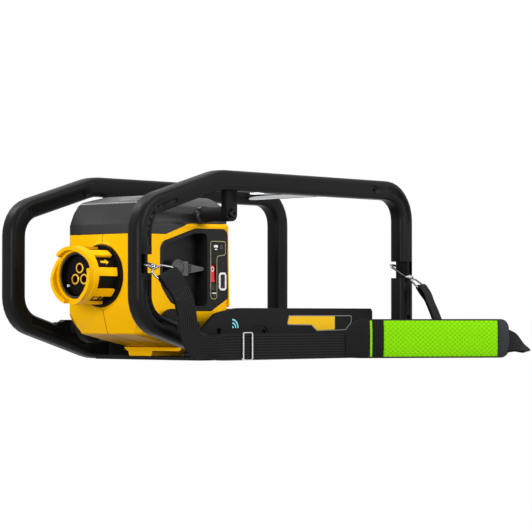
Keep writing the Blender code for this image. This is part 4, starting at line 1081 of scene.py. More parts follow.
@dataclass
class CarryFrame(Assembly):
    """Side frames, cross rod, isolators and battery tray."""

    screw_sets: tuple[ScrewSet, ...] = (
        ScrewSet("rod_screws", 0.1424, 6 * MM, 4 * MM, {"rod_bolt": (0.210, 0.264)}),
        ScrewSet(
            "isolator_screws", 0.1324, 7 * MM, 4.5 * MM,
            {"top_isolator_bolt": (-0.102, 0.217), "bottom_isolator_bolt": (-0.180, 0.0508)},
        ),
        ScrewSet(
            "tray_screws", 0.1424, 7 * MM, 5 * MM,
            {"tray_bolt_1": (-0.060, 0.015), "tray_bolt_2": (0.190, 0.015)},
        ),
    )
    tray_face_y: float = -0.1194
    stripe: tuple[Triple, ...] = (
        (0.0400, 0.0652, 0), (0.0358, 0.0532, 0.002), (0.0915, 0.0526, 0.004), (0.1045, 0.0436, 0.003),
        (0.1466, 0.0446, 0.001), (0.1466, 0.0652, 0.001),
    )
    border: tuple[Triple, ...] = (
        (0.0392, 0.0660, 0), (0.0348, 0.0524, 0.002), (0.0911, 0.0518, 0.004), (0.1041, 0.0428, 0.003),
        (0.1720, 0.0440, 0.006), (0.1868, 0.0560, 0.004), (0.1868, 0.0660, 0.002),
    )
    border_width: float = 0.0012
    holes: tuple[Point, ...] = ((-0.117, 0.043), (-0.017, 0.041))
    hole_radius: float = 0.0048
    hole_depth: float = 0.0050
    # Thickness of the discs of painted shade in the tray wall's holes
    hole_shade_mm: float = 1.0
    wave_corner: Point = (-0.0878, 0.0476)
    wave_core: float = 0.0034
    wave_radii: Point = (0.0076, 0.0126)
    wave_width: float = 0.0024

    def build(self) -> None:
        """Dresses the frame and adds screws and tray marks."""
        for side in ("near", "far"):
            self.refine(f"{side}_side_frame", FRAME_NYLON, Slot.FRAME, edge_mm=0.0)
            for level in ("top", "bottom"):
                self.refine(f"{side}_{level}_isolator", RUBBER, Slot.RUBBER, edge_mm=0.0)
        self.refine("cross_rod", ROD_STEEL, Slot.ROD, edge_mm=0.4)
        self.refine("battery_tray", TRAY_NYLON, Slot.FRAME, edge_mm=0.8)
        for screws in self.screw_sets:
            self.screws(screws)
        self.tray_marks()

    def screws(self, screws: ScrewSet) -> None:
        """Lays cap screws over the bolts of both side frames.

        Args:
            screws: The screws of one size.
        """
        spots, replaced = [], []
        for side, label in ((-1, "near"), (1, "far")):
            for bolt, (x, z) in screws.bolts.items():
                spots.append((Vector((x, side * screws.face_y, z)), Vector((0, side, 0)), ALONG_X))
                replaced.append(f"{label}_{bolt}")
        sizes = {"Head Radius": screws.radius, "Head Height": screws.height}
        mesh = CapScrews(BOLT_STEEL, **sizes).lay(screws.name, spots)
        add_piece(screws.name, mesh, [BOLT_STEEL], Body.CHASSIS, Slot.BOLT, *replaced)

    def tray_marks(self) -> None:
        """Prints the stripe, its border and the wireless mark on the near wall, and closes its holes with
        dark discs of painted shade.
        """
        def on_wall(x: float, z: float, height: float) -> Vector:
            """A point on the near wall of the tray."""
            return Vector((x, self.tray_face_y - height, z))

        def in_hole(x: float, z: float, height: float) -> Vector:
            """A point at the bottom of the wall's holes, where the discs of painted shade lie."""
            return Vector((x, self.tray_face_y + self.hole_depth - height, z))

        stripe = MarkSheet(on_wall).fill(rounded(self.stripe))
        self.mark("tray_stripe", stripe, INK_YELLOW, Slot.HOUSING)
        border = MarkSheet(on_wall).line(rounded(self.border), self.border_width, closed=True)
        self.mark("tray_frame_line", border, INK_GREY, Slot.BEZEL)
        # Dark discs inside the holes: painted shade where the holes fall into darkness
        shade_discs = MarkSheet(in_hole, self.hole_shade_mm)
        for hole in self.holes:
            shade_discs.fill(circle(hole, self.hole_radius, steps=28))
        self.mark("tray_hole_shade_discs", shade_discs, SOCKET_PBT, Slot.FRAME)
        core = arc(self.wave_corner, self.wave_core, 0, 90, steps=6)
        waves = MarkSheet(on_wall).fill([self.wave_corner, *core])
        for radius in self.wave_radii:
            waves.line(arc(self.wave_corner, radius, 0, 90, steps=12), self.wave_width)
        self.mark("tray_wireless_mark", waves, INK_CYAN, Slot.BEZEL)


@dataclass
class Housing(Assembly):
    """Clamshell halves, top cover, foot and the electronics inside."""

    parting_reach: float = 0.0003
    parting_mm: float = 0.7
    rim_x: float = -0.0492
    rim_mm: float = 2.2
    rim: tuple[Triple, ...] = (
        (-0.0690, 0.0790, 0), (-0.0690, 0.2035, 0), (-0.0728, 0.2035, 0.004), (-0.0757, 0.0790, 0.002),
    )
    smooth_below: float = math.radians(48)

    def build(self) -> None:
        """Dresses the shells and paints what is inside."""
        def at_parting(edge: bmesh.types.BMEdge) -> bool:
            """Whether an edge lies where the two halves meet."""
            return all(abs(vert.co.y) < self.parting_reach for vert in edge.verts)

        def on_rear(y: float, z: float, height: float) -> Vector:
            """A point behind the housing's rear wall."""
            return Vector((self.rim_x + height, y, z))

        for half in ("housing_near_half", "housing_far_half"):
            # The rounded parting edges take the second finish, painted shade in the groove between the
            # halves
            mesh = refined(self.nodes[half], self.parting_mm, self.smooth_below, at_parting)
            add_piece(f"{half}_skin", mesh, [HOUSING_ABS, PARTING_SHADE], Body.CHASSIS, Slot.HOUSING, half)
        rim = MarkSheet(on_rear, self.rim_mm).fill(rounded(self.rim))
        self.mark("housing_rear_rim", rim, HOUSING_ABS, Slot.HOUSING)
        mesh = refined(self.nodes["top_cover"], edge_mm=0.0, smooth_below=self.smooth_below)
        add_piece("top_cover_skin", mesh, [COVER_ABS], Body.CHASSIS, Slot.COVER, "top_cover")
        self.refine("skid_foot", HOUSING_ABS, Slot.HOUSING, edge_mm=0.5)
        self.refine("terminal_block", PANEL_ABS, Slot.PANEL, edge_mm=0.4)
        self.paint(BOARD, "inverter_board")
        self.paint(ALUMINIUM, "heat_sink")
        self.paint(SLEEVE, *(f"bulk_capacitor_{k}" for k in (1, 2, 3)))
        self.paint(LEAD, *(f"phase_lead_{k}" for k in (1, 2, 3)), "battery_lead_1", "battery_lead_2")


@dataclass
class ControlPanel(Assembly):
    """Side panel with its lever, rocker switch, indicator and printed marks."""

    lever_axis: Point = (-0.150, 0.136)
    hub_face_y: float = -0.0700
    pointer_face_y: float = -0.0685
    groove: Point = (0.0096, 0.0106)
    groove_depth: float = 0.0012
    cutter_rise: float = 0.001
    band_side: tuple[Point, ...] = ((0.0198, 0.0094), (0.0222, 0.0060), (0.0272, 0.0052))
    pivot: Triple = (-0.0805, -0.070, 0.122)
    rest_tilt: float = math.radians(8)
    half_length: float = 0.0195
    front_rise: float = 0.0015
    front_fall: float = 0.0025
    red_end: float = -0.0054
    off_ring: Point = (0.0004, 0.0135)
    off_radius: float = 0.0030
    off_width: float = 0.0014
    face_y: float = -0.0743
    outline: tuple[Triple, ...] = (
        (-0.0869, 0.0912, 0.005), (-0.0735, 0.0912, 0.005), (-0.0735, 0.1555, 0.005),
        (-0.0546, 0.1575, 0.004), (-0.0546, 0.1777, 0.003), (-0.0869, 0.1777, 0.003),
    )
    outline_width: float = 0.0010
    battery_sign: tuple[Triple, ...] = (
        (-0.0800, 0.1685, 0.0008), (-0.0712, 0.1685, 0.0008), (-0.0712, 0.1722, 0.0014),
        (-0.0800, 0.1722, 0.0014),
    )
    dashes: tuple[tuple[Point, Point], ...] = (
        ((-0.0776, 0.1658), (-0.0730, 0.1658)), ((-0.0836, 0.0999), (-0.0750, 0.0999)),
    )
    dash_width: float = 0.0018
    faint_ring: Point = (-0.0634, 0.1692)
    faint_radius: float = 0.0024
    faint_width: float = 0.0012
    faint_dot: Point = (-0.0793, 0.0957)
    dot_radius: float = 0.0012
    lens_y: float = -0.0754
    lamp: Point = (-0.0620, 0.1084)
    lamp_radius: float = 0.0009

    def build(self) -> None:
        """Dresses the panel, its controls and its marks."""
        self.refine("side_panel", PANEL_ABS, Slot.PANEL, edge_mm=0.5)
        self.lever()
        self.refine("indicator_bezel", BEZEL_ABS, Slot.BEZEL, edge_mm=0.35)
        self.refine("indicator_lens", LENS, Slot.LENS, edge_mm=0.2)
        self.paint(ROD_STEEL, "lever_shaft")
        self.paint(PANEL_ABS, "selector_switch", "rocker_switch_body")
        self.rocker()
        self.marks()

    def lever(self) -> None:
        """Cuts the ring groove into the lever's hub and lays a dark film of painted shade across its
        pointer, where a sloped face falls into shade.
        """
        x, z = self.lever_axis

        def about_axis(angle: float, radius: float, height: float) -> Vector:
            """A point about the lever's axis."""
            return Vector((x + radius * math.cos(angle), -height, z + radius * math.sin(angle)))

        def on_pointer(u: float, v: float, height: float) -> Vector:
            """A point on the pointer's face."""
            return Vector((x + u, self.pointer_face_y - height, z + v))

        low, high = self.groove_depth + self.hub_face_y, self.hub_face_y - self.cutter_rise
        inner, outer = self.groove
        ring = [(inner, -low), (outer, -low), (outer, -high), (inner, -high)]
        cutter = new_object("groove cutter", finish_mesh(spun(ring, about_axis, steps=56), "groove cutter"))
        carrier = new_object("lever", refined(self.nodes["selector_lever"], edge_mm=0.9))
        modifier = carrier.modifiers.new("ring groove", "BOOLEAN")
        modifier.object = cutter
        modifier.solver = "EXACT"
        mesh = plain_mesh(carrier, "selector_lever_skin")
        bpy.data.objects.remove(cutter)
        mesh.materials.clear()
        mesh.set_sharp_from_angle(angle=SMOOTH_BELOW)
        add_piece("selector_lever_skin", mesh, [LEVER_ACETAL], Body.LEVER, Slot.LEVER, "selector_lever")
        # The band is painted shade for the pointer's sloped face
        below = [(u, -v) for u, v in self.band_side]
        band = MarkSheet(on_pointer).fill([*below, *reversed(self.band_side)])
        self.mark("lever_shade_band", band, LEVER_SHADE_FILM, Slot.PANEL, Body.LEVER)

    def rocker(self) -> None:
        """Splits the rocker into its red and black halves and prints its off mark."""
        shape = bmesh.new()
        shape.from_mesh(refined(self.nodes["rocker_switch"], edge_mm=0.3))
        turn = Matrix.Rotation(-self.rest_tilt, 3, "X")
        pivot, up = Vector(self.pivot), turn @ UP
        everything = [*shape.verts, *shape.edges, *shape.faces]
        bmesh.ops.bisect_plane(shape, geom=everything, plane_co=pivot + up * self.red_end, plane_no=up)
        for face in shape.faces:
            face.material_index = int((face.calc_center_median() - pivot).dot(up) < self.red_end)
        mesh = finish_mesh(shape, "rocker_skin")
        finishes = [SWITCH_RED, SWITCH_BLACK]
        add_piece("rocker_skin", mesh, finishes, Body.ROCKER, Slot.SWITCH, "rocker_switch")

        def on_rocker(x: float, z: float, height: float) -> Vector:
            """A point on the rocker's front faces, which fall away from its middle."""
            front = -self.front_rise - self.front_fall * abs(z) / self.half_length - height
            return pivot + turn @ Vector((x, front, z))

        ring = circle(self.off_ring, self.off_radius, steps=24)
        sheet = MarkSheet(on_rocker).line(ring, self.off_width, closed=True)
        self.mark("rocker_marks", sheet, INK_WHITE, Slot.BEZEL, Body.ROCKER)

    def marks(self) -> None:
        """Prints the outline round the controls and the small symbols, and lays the indicator's lamp."""
        def on_panel(x: float, z: float, height: float) -> Vector:
            """A point on the panel's face."""
            return Vector((x, self.face_y - height, z))

        def on_lens(x: float, z: float, height: float) -> Vector:
            """A point on the indicator's lens."""
            return Vector((x, self.lens_y - height, z))

        outline = MarkSheet(on_panel).line(rounded(self.outline), self.outline_width, closed=True)
        self.mark("panel_outline", outline, INK_KHAKI, Slot.BEZEL)
        symbols = MarkSheet(on_panel).fill(rounded(self.battery_sign))
        for dash in self.dashes:
            symbols.line(dash, self.dash_width)
        self.mark("panel_symbols", symbols, INK_WHITE, Slot.BEZEL)
        ring = circle(self.faint_ring, self.faint_radius, steps=16)
        faint = MarkSheet(on_panel).line(ring, self.faint_width, closed=True)
        faint.fill(circle(self.faint_dot, self.dot_radius, steps=12))
        self.mark("panel_faint_marks", faint, INK_SLATE, Slot.BEZEL)
        lamp = MarkSheet(on_lens).fill(circle(self.lamp, self.lamp_radius, steps=12))
        self.mark("indicator_lamp", lamp, INK_RED, Slot.SWITCH)


@dataclass
class Outlet(Assembly):
    """Twist-lock outlet: flange, collar, insert and contacts."""

    front_x: float = -0.240
    axis_z: float = 0.1246
    contact_rim: float = 0.002
    contact_lean: float = 0.3
    ring_profile: tuple[Point, ...] = (
        (0.0309, 0.0530), (0.0333, 0.0530), (0.0330, 0.0538), (0.0316, 0.0542), (0.0309, 0.0536),
    )
    key_seat: float = 0.0450
    key_mm: float = 2.4
    key: tuple[Triple, ...] = (
        (0.0215, -0.0165, 0.0006), (0.0245, -0.0165, 0.0006), (0.0245, -0.0130, 0.0006),
        (0.0215, -0.0130, 0.0006),
    )
    drum_radius: float = 0.038
    mark_middle: float = 0.0270
    mark_gap: float = 0.00005
    arrow_angle: float = 31
    arrow: tuple[Point, ...] = (
        (-0.0080, -0.0018), (0.0020, -0.0018), (0.0020, -0.0045), (0.0085, 0.0), (0.0020, 0.0045),
        (0.0020, 0.0018), (-0.0080, 0.0018),
    )
    lock_angle: float = -60
    lock: tuple[Point, ...] = ((-0.0090, -0.0035), (0.0, -0.0035), (0.0, 0.0025), (-0.0090, 0.0025))
    arch: Point = (-0.0045, 0.0025)
    arch_radius: float = 0.0028
    arch_width: float = 0.0012
    lock_dash: tuple[Point, Point] = ((0.0060, -0.0035), (0.0075, 0.0045))
    bar_angle: float = 77
    bar: tuple[Point, ...] = ((-0.0080, -0.0025), (0.0, -0.0025), (0.0, 0.0025), (-0.0080, 0.0025))
    bar_dash: tuple[Point, Point] = ((0.0040, -0.0025), (0.0085, 0.0025))
    dash_width: float = 0.0018

    def build(self) -> None:
        """Dresses the outlet and adds its ring, key and marks."""
        self.refine("connector_flange", SOCKET_PBT, Slot.PANEL, edge_mm=0.4)
        self.refine("locking_collar", HOUSING_ABS, Slot.HOUSING, edge_mm=0.9, body=Body.COLLAR)
        self.refine("socket_insert", SOCKET_PBT, Slot.PANEL, edge_mm=0.3)
        for k in (1, 2, 3):
            self.contact(f"contact_socket_{k}")
        self.ring_and_key()
        self.marks()

    def contact(self, name: str) -> None:
        """Dresses a contact socket, whose bore takes a darker brass as painted shade.

        Args:
            name: The node.
        """
        mesh = refined(self.nodes[name], edge_mm=0.5)
        low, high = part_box(name)
        axis = (low + high) / 2
        # Faces inside the bore and back from the rim take the painted shade
        for face in mesh.polygons:
            outward = (face.center - axis) * Vector((0, 1, 1))
            inside = face.normal.dot(outward) < -self.contact_lean * outward.length
            sunk = face.center.x > low.x + self.contact_rim
            face.material_index = int(inside or sunk)
        add_piece(f"{name}_skin", mesh, [BRASS, BORE_SHADE_BRASS], Body.CHASSIS, Slot.BRASS, name)

    def on_axis(self, angle: float, radius: float, height: float) -> Vector:
        """A point about the outlet's axis, by angle from the operator's side, radius and height."""
        y, z = -radius * math.cos(angle), self.axis_z + radius * math.sin(angle)
        return Vector((self.front_x - height, y, z))

    def ring_and_key(self) -> None:
        """Adds the grey ring at the bore's mouth and the pale polarising key."""
        def in_bore(y: float, z: float, height: float) -> Vector:
            """A point on the insert's face."""
            return self.on_axis(0, 0, 0) + Vector((-self.key_seat - height, y, z))

        ring = finish_mesh(spun(self.ring_profile, self.on_axis, steps=72), "bore_ring")
        add_piece("bore_ring", ring, [RING_GREY], Body.CHASSIS, Slot.PANEL)
        key = MarkSheet(in_bore, self.key_mm).fill(rounded(self.key, steps=3))
        self.mark("polarising_key", key, BEZEL_ABS, Slot.BEZEL)

    def window(self, middle: float) -> MarkSheet:
        """Starts a sheet on the drum, in a window between the collar's fingers.

        Args:
            middle: Angle of the window's middle in degrees.

        Returns:
            The empty sheet.
        """
        def on_drum(x: float, up: float, height: float) -> Vector:
            """A point on the drum."""
            angle = math.radians(middle) + up / self.drum_radius
            return self.on_axis(angle, self.drum_radius + self.mark_gap + height, self.mark_middle - x)

        return MarkSheet(on_drum)

    def marks(self) -> None:
        """Prints the turning arrow, the padlock and a bar between the collar's fingers."""
        arrow = self.window(self.arrow_angle).fill(self.arrow)
        self.mark("drum_arrow", arrow, INK_YELLOW, Slot.HOUSING)
        lock = self.window(self.lock_angle).fill(self.lock)
        lock.line(arc(self.arch, self.arch_radius, 180, 0, steps=10), self.arch_width)
        lock.line(self.lock_dash, self.dash_width)
        self.mark("drum_padlock", lock, INK_YELLOW, Slot.HOUSING)
        bar = self.window(self.bar_angle).fill(self.bar).line(self.bar_dash, self.dash_width)
        self.mark("drum_bar", bar, INK_YELLOW, Slot.HOUSING)


class TapeRun:
    """The middle line of a run of webbing, with its direction across and its facing."""

    def __init__(self, middles: Sequence[Vector], across: Sequence[Vector]) -> None:
        """Measures the run.

        Args:
            middles: Middle points in order.
            across: Direction across at each of them.
        """
        self.middles = list(middles)
        self.across = [arm.normalized() for arm in across]
        self.lengths = [0.0]
        for before, after in zip(self.middles, self.middles[1:]):
            self.lengths.append(self.lengths[-1] + (after - before).length)
        last = len(self.middles) - 1
        self.tangents = [
            (self.middles[min(last, k + 1)] - self.middles[max(0, k - 1)]).normalized()
            for k in range(last + 1)
        ]
        self.normals = [t.cross(arm).normalized() for t, arm in zip(self.tangents, self.across)]

    def at(self, s: float, a: float, height: float) -> Vector:
        """A point beside the run.

        Args:
            s: Distance along it.
            a: Distance across from its middle.
            height: Distance from its middle plane.

        Returns:
            The point.
        """
        k = max(0, min(bisect.bisect_right(self.lengths, s) - 1, len(self.lengths) - 2))
        share = (s - self.lengths[k]) / (self.lengths[k + 1] - self.lengths[k])
        ends = [self.middles[j] + self.across[j] * a + self.normals[j] * height for j in (k, k + 1)]
        return ends[0].lerp(ends[1], share)


@dataclass
class StrapPart(Assembly):
    """What the webbing and the shoulder pad share."""

    webbing_width: float = 0.038
    run_z: float = 0.0211


@dataclass
class ShoulderPad(StrapPart):
    """Shoulder pad: a crowned strip with a mesh panel, bands, binding, perforations and stitches."""

    start: Point = (0.105, -0.176)
    end: Point = (0.320, -0.327)
    height: float = 0.060
    thickness: float = 0.012
    base_z: float = 0.0008
    taper: float = 0.030
    taper_power: float = 2.2
    crown: float = 0.55
    start_ease: float = 0.030
    end_round: float = 0.014
    end_least: float = 0.25
    end_steps: int = 10
    stripe: Point = (0.0384, 0.0415)
    mesh_panel: Point = (0.0602, 0.2432)
    seam_dip: float = 0.16
    seam_width: float = 0.0014
    step: float = 0.0018
    levels: int = 26
    pit_pitch: Point = (0.0080, 0.0070)
    pit_margins: Point = (0.0025, 0.002)
    pit_shifts: Point = (0.75, 0.25)
    pit_reach: float = 0.92
    pit_sink: float = 0.00008
    slope_step: float = 0.02
    thread_lift: float = 0.0001
    band_gap: float = 0.0022
    end_gap: float = 0.0024
    band_stitches: int = 15
    band_reach: float = 0.9
    edge_start: float = 0.062
    edge_spare: float = 0.070
    edge_pitch: float = 0.0042
    edge_level: float = 0.955

    def build(self) -> None:
        """Makes the cover, its perforations and its stitches."""
        self.cover()
        self.pits()
        self.stitches()

    def length(self) -> float:
        """Length of the pad."""
        return (Vector(self.end) - Vector(self.start)).length

    def direction(self) -> Vector:
        """Direction of the pad along the ground."""
        return Vector((*(Vector(self.end) - Vector(self.start)).normalized(), 0))

    def away(self, side: int) -> Vector:
        """Direction that a face of the pad looks in, where it is flat."""
        direction = self.direction()
        return Vector((-direction.y, direction.x, 0)) * side

    def form(self, s: float, up: float) -> Point:
        """Height above the ground and half thickness of the pad.

        Args:
            s: Distance along the pad.
            up: Position over its height, from -1 at the bottom to 1 at the top.

        Returns:
            Height and half thickness there.
        """
        length = self.length()
        ease = 1 - (1 - min(1.0, s / self.taper)) ** self.taper_power
        height = self.webbing_width + (self.height - self.webbing_width) * ease
        reach = max(0.0, s - length + self.end_round)
        corner = self.end_round - math.sqrt(max(0.0, self.end_round**2 - reach**2))
        low = self.run_z - self.webbing_width / 2
        base = low + (self.base_z - low) * ease + corner
        height -= 2 * corner
        to_ends = min(1.0, s / self.start_ease, (length - s) / self.end_round + self.end_least)
        crown = (1 - self.crown * abs(up) ** 3) * (1 - self.crown * (1 - to_ends))
        for seam in (*self.stripe, *self.mesh_panel):
            crown *= 1 - self.seam_dip * math.exp(-(((s - seam) / self.seam_width) ** 2))
        return base + height * (up + 1) / 2, self.thickness / 2 * crown

    def at(self, s: float, up: float, side: int, lift: float = 0.0) -> Vector:
        """A point on the pad's surface.

        Args:
            s: Distance along the pad.
            up: Position over its height, from -1 to 1.
            side: -1 for the outer face, 1 for the inner one.
            lift: Distance above the surface.

        Returns:
            The point.
        """
        z, half = self.form(s, up)
        out = self.away(side) * (half + lift)
        return Vector((*self.start, 0)) + self.direction() * s + out + Vector((0, 0, z))

    def zone(self, s: float, edge: bool) -> PadZone:
        """Zone of the cover.

        Args:
            s: Distance along the pad.
            edge: Whether the place is in the binding along the pad's edges.

        Returns:
            The zone.
        """
        if s > self.mesh_panel[1]:
            return PadZone.END
        if self.stripe[0] < s < self.stripe[1] or self.mesh_panel[0] < s < self.mesh_panel[1]:
            return PadZone.BINDING if edge else PadZone.MESH
        return PadZone.NYLON

    def stations(self) -> list[float]:
        """Distances along the pad at which its surface has points.

        Returns:
            The distances, which meet every seam and are closer in the rounded end.
        """
        even_end = self.length() - self.end_round
        breaks = [0.0, *self.stripe, *self.mesh_panel, even_end]
        found = [0.0]
        for first, second in zip(breaks, breaks[1:]):
            steps = math.ceil((second - first) / self.step)
            found += [first + (second - first) * (k + 1) / steps for k in range(steps)]
        turns = [math.pi / 2 * k / self.end_steps for k in range(1, self.end_steps + 1)]
        return found + [even_end + self.end_round * math.sin(turn) for turn in turns]

    def cover(self) -> None:
        """Makes the pad's closed cover with its zones and its own UV map."""
        stations, ups = self.stations(), self.levels
        along = len(stations) - 1
        shape = bmesh.new()
        uv = shape.loops.layers.uv.new("pad")
        grid = {}
        for i, s in enumerate(stations):
            for j in range(ups + 1):
                for side in BOTH:
                    grid[i, j, side] = shape.verts.new(self.at(s, -1 + 2 * j / ups, side))
        quads = []
        for i in range(along):
            middle = (stations[i] + stations[i + 1]) / 2
            for j in range(ups):
                for side in BOTH:
                    keys = [(i, j, side), (i + 1, j, side), (i + 1, j + 1, side), (i, j + 1, side)]
                    quads.append((keys, middle, j in (0, ups - 1)))
            for j in (0, ups):
                quads.append(([(i, j, -1), (i + 1, j, -1), (i + 1, j, 1), (i, j, 1)], middle, True))
        for i in (0, along):
            for j in range(ups):
                quads.append(([(i, j, -1), (i, j + 1, -1), (i, j + 1, 1), (i, j, 1)], stations[i], False))
        for keys, middle, edge in quads:
            face = shape.faces.new([grid[key] for key in keys])
            face.material_index = self.zone(middle, edge)
            for loop, key in zip(face.loops, keys):
                loop[uv].uv = (stations[key[0]], grid[key].co.z)
        bmesh.ops.recalc_face_normals(shape, faces=shape.faces)
        finishes = [PAD_NYLON, LIME_MESH, PAD_END_TPU, BINDING]
        mesh = finish_mesh(shape, "shoulder_pad_cover")
        pad = add_piece("shoulder_pad_cover", mesh, finishes, Body.CHASSIS, Slot.PAD, "shoulder_pad")

    def pits(self) -> None:
        """Lays the mesh panel's perforations on both faces as discs of painted shade, every second column
        half a pitch lower.
        """
        spots = []
        direction = self.direction()
        start, end = self.mesh_panel[0] + self.pit_margins[0], self.mesh_panel[1] - self.pit_margins[1]
        columns = round((end - start) / (self.pit_pitch[0] / 2))
        rows = round(self.height * self.pit_reach / self.pit_pitch[1])
        for side in BOTH:
            for column in range(columns + 1):
                s = start + (end - start) * column / columns
                for row in range(rows):
                    share = (row + self.pit_shifts[column % 2]) / rows
                    up = -self.pit_reach + 2 * self.pit_reach * share
                    slope = self.at(s, up + self.slope_step, side) - self.at(s, up - self.slope_step, side)
                    facing = direction.cross(slope).normalized()
                    facing = facing if facing.dot(self.away(side)) > 0 else -facing
                    spots.append((self.at(s, up, side, -self.pit_sink), facing, direction))
        mesh = Perforations(PIT_SHADE_LIME).lay("pad_perforation_shade", spots)
        add_piece("pad_perforation_shade", mesh, [PIT_SHADE_LIME], Body.CHASSIS, Slot.PAD)

    def stitches(self) -> None:
        """Sews the pad's bands and its binding."""
        spots = []
        direction = self.direction()
        bands = (
            self.stripe[0] - self.band_gap, self.mesh_panel[0] - self.band_gap,
            self.mesh_panel[1] + self.end_gap,
        )
        for side in BOTH:
            away = self.away(side)
            for s in bands:
                for k in range(self.band_stitches):
                    up = -self.band_reach + 2 * self.band_reach * k / (self.band_stitches - 1)
                    spots.append((self.at(s, up, side, self.thread_lift), away, UP))
            for k in range(int((self.length() - self.edge_spare) / self.edge_pitch)):
                s = self.edge_start + self.edge_pitch * k
                for up in (-self.edge_level, self.edge_level):
                    spots.append((self.at(s, up, side, self.thread_lift), away, direction))
        mesh = Stitches(THREAD).lay("pad_stitches", spots)
        add_piece("pad_stitches", mesh, [THREAD], Body.CHASSIS, Slot.WEBBING)


@dataclass(frozen=True)
class StrapEnd:
    """One end of the strap: its hook's gate, its wire eye and the run of webbing that starts there."""

    name: str
    gate: Body
    eye_bar: Station
    eye_top: Triple
    run: str
    node: str
    holders: tuple[str, ...]
    way: tuple[Station, ...]


@dataclass
class ShoulderStrap(StrapPart):
    """Webbing, slider and hooks of the strap."""

    front: StrapEnd = StrapEnd(
        "front", Body.FRONT_GATE, ((-0.2735, -0.1678, 0.1257), (0.93, 0, 0.36)), (-0.292, -0.1632, 0.1332),
        "strap_front_run", "strap_webbing_front", ("front_strap_eye", "strap_slider"),
        (
            ((-0.2684, -0.1710, 0.1175), (0.94, 0, 0.33)),
            ((-0.2597, -0.1760, 0.1040), (0.97, 0, 0.24)),
            ((-0.2531, -0.1795, 0.0882), (1, 0, 0.08)),
            ((-0.2481, -0.1805, 0.0685), (1, 0, 0.02)),
            ((-0.2445, -0.1800, 0.0520), (1, 0, 0.10)),
            ((-0.2370, -0.1775, 0.0378), (0.88, 0, 0.47)),
            ((-0.2245, -0.1740, 0.0268), (0.64, -0.08, 0.76)),
            ((-0.2060, -0.1695, 0.0212), (0.38, -0.24, 0.88)),
            ((-0.1800, -0.1650, 0.0202), (0.12, -0.36, 0.92)),
        ),
    )
    rear: StrapEnd = StrapEnd(
        "rear", Body.REAR_GATE, ((0.3018, -0.1688, 0.1121), (0.93, 0.36, 0.05)), (0.292, -0.1592, 0.1238),
        "strap_rear_run", "strap_webbing_return", ("rear_strap_eye",),
        (
            ((0.3061, -0.1785, 0.0955), (0.93, 0.36, 0.05)),
            ((0.3062, -0.1885, 0.0773), (0.93, 0.35, 0.05)),
            ((0.3115, -0.2080, 0.0370), (0.95, 0.30, 0.05)),
            ((0.332, -0.2380, 0.0090), (1, 0.12, 0)),
            ((0.350, -0.2740, 0.0072), (1, 0, 0)),
            ((0.357, -0.3110, 0.0118), (0.99, -0.10, 0)),
            ((0.3575, -0.3335, 0.0105), (0.95, 0.25, 0.08)),
            ((0.347, -0.3385, 0.0160), (0.70, 0.62, 0.30)),
            ((0.334, -0.334, 0.0245), (0.52, 0.50, 0.69)),
        ),
    )
    ground_run: tuple[Point, ...] = (
        (-0.149, -0.162), (-0.136, -0.162), (-0.104, -0.162), (-0.072, -0.162), (-0.058, -0.162),
        (0.000, -0.1635), (0.060, -0.1665),
    )
    pad_in_gap: float = 0.0004
    pad_exit_z: float = 0.0265
    pad_out_lift: float = 0.0014
    pad_out_gap: float = 0.0012
    pad_out_shift: Triple = (0.0036, 0.0034, 0)
    pad_out_arm: Triple = (0.34, 0.33, 0.88)
    tuck: float = 0.009
    tuck_arm: Triple = (0.08, 0.08, 0.99)
    steps_per_span: int = 14
    thickness: float = 0.0024
    rib_count: int = 9
    rib_steps: int = 6
    rib_rise: float = 0.00035
    edge_inset: float = 0.0009
    edge_round: float = 0.0002
    edge_share: float = 0.55
    eye_margin: float = 0.0022
    eye_half_top: float = 0.0110
    fold_radius: float = 0.0029
    fold_steps: int = 8
    fold_length: float = 0.068
    fold_ease: float = 0.014
    layer_gap: float = 0.00135
    tail_thin: float = 0.009
    tail_least: float = 0.2
    loop_length: float = 0.026
    loop_spread: float = 0.0008
    box_start: float = 0.0285
    box_end: float = 0.0430
    box_half: float = 0.0150
    box_stitches: int = 9
    box_least: int = 4
    box_ahead: float = 0.05
    box_thread: float = 0.35 * MM
    box_stitch: float = 2.4 * MM

    def build(self) -> None:
        """Makes the webbing and dresses the metal pieces."""
        self.refine("strap_slider", CHROME, Slot.CHROME, edge_mm=1.0, body=Body.SLIDER)
        for end in (self.front, self.rear):
            # Hooks, gates and eyes take the darker chrome of painted reflection
            self.refine(f"{end.name}_hook_body", SHADED_CHROME, Slot.CHROME, edge_mm=0.0)
            self.refine(f"{end.name}_hook_gate", SHADED_CHROME, Slot.CHROME, edge_mm=0.0, body=end.gate)
            self.eye(end)
        runs = [self.webbing(end, rest) for end, rest in self.ways()]
        self.fold_stitches(runs)

    def eye(self, end: StrapEnd) -> None:
        """Bends the wire eye that holds the webbing on a hook.

        Args:
            end: The end of the strap.
        """
        bar, arm = Vector(end.eye_bar[0]), Vector(end.eye_bar[1]).normalized()
        reach, top = arm * (self.webbing_width / 2 + self.eye_margin), arm * self.eye_half_top
        apex = Vector(end.eye_top)
        name = f"{end.name}_strap_eye_wire"
        mesh = Wire(SHADED_CHROME).ring(name, [bar - reach, bar + reach, apex + top, apex - top])
        add_piece(name, mesh, [SHADED_CHROME], Body.CHASSIS, Slot.CHROME, f"{end.name}_strap_eye")

    def ways(self) -> list[tuple[StrapEnd, list[Station]]]:
        """The last stations of both runs, which reach the pad.

        Returns:
            Each end of the strap with the stations after its own.
        """
        pad = ShoulderPad(self.nodes)
        direction, upright = pad.direction(), (0, 0, 1)
        pad_in = Vector((*pad.start, self.run_z)) - direction * self.pad_in_gap
        pad_out = Vector((*pad.end, self.pad_exit_z + self.pad_out_lift)) + direction * self.pad_out_gap
        pad_out += Vector(self.pad_out_shift)
        tucked = Vector((*pad.end, self.pad_exit_z)) - direction * self.tuck
        ground = [((x, y, self.run_z), upright) for x, y in self.ground_run]
        return [
            (self.front, [*ground, (pad_in, upright)]),
            (self.rear, [(pad_out, self.pad_out_arm), (tucked, self.tuck_arm)]),
        ]

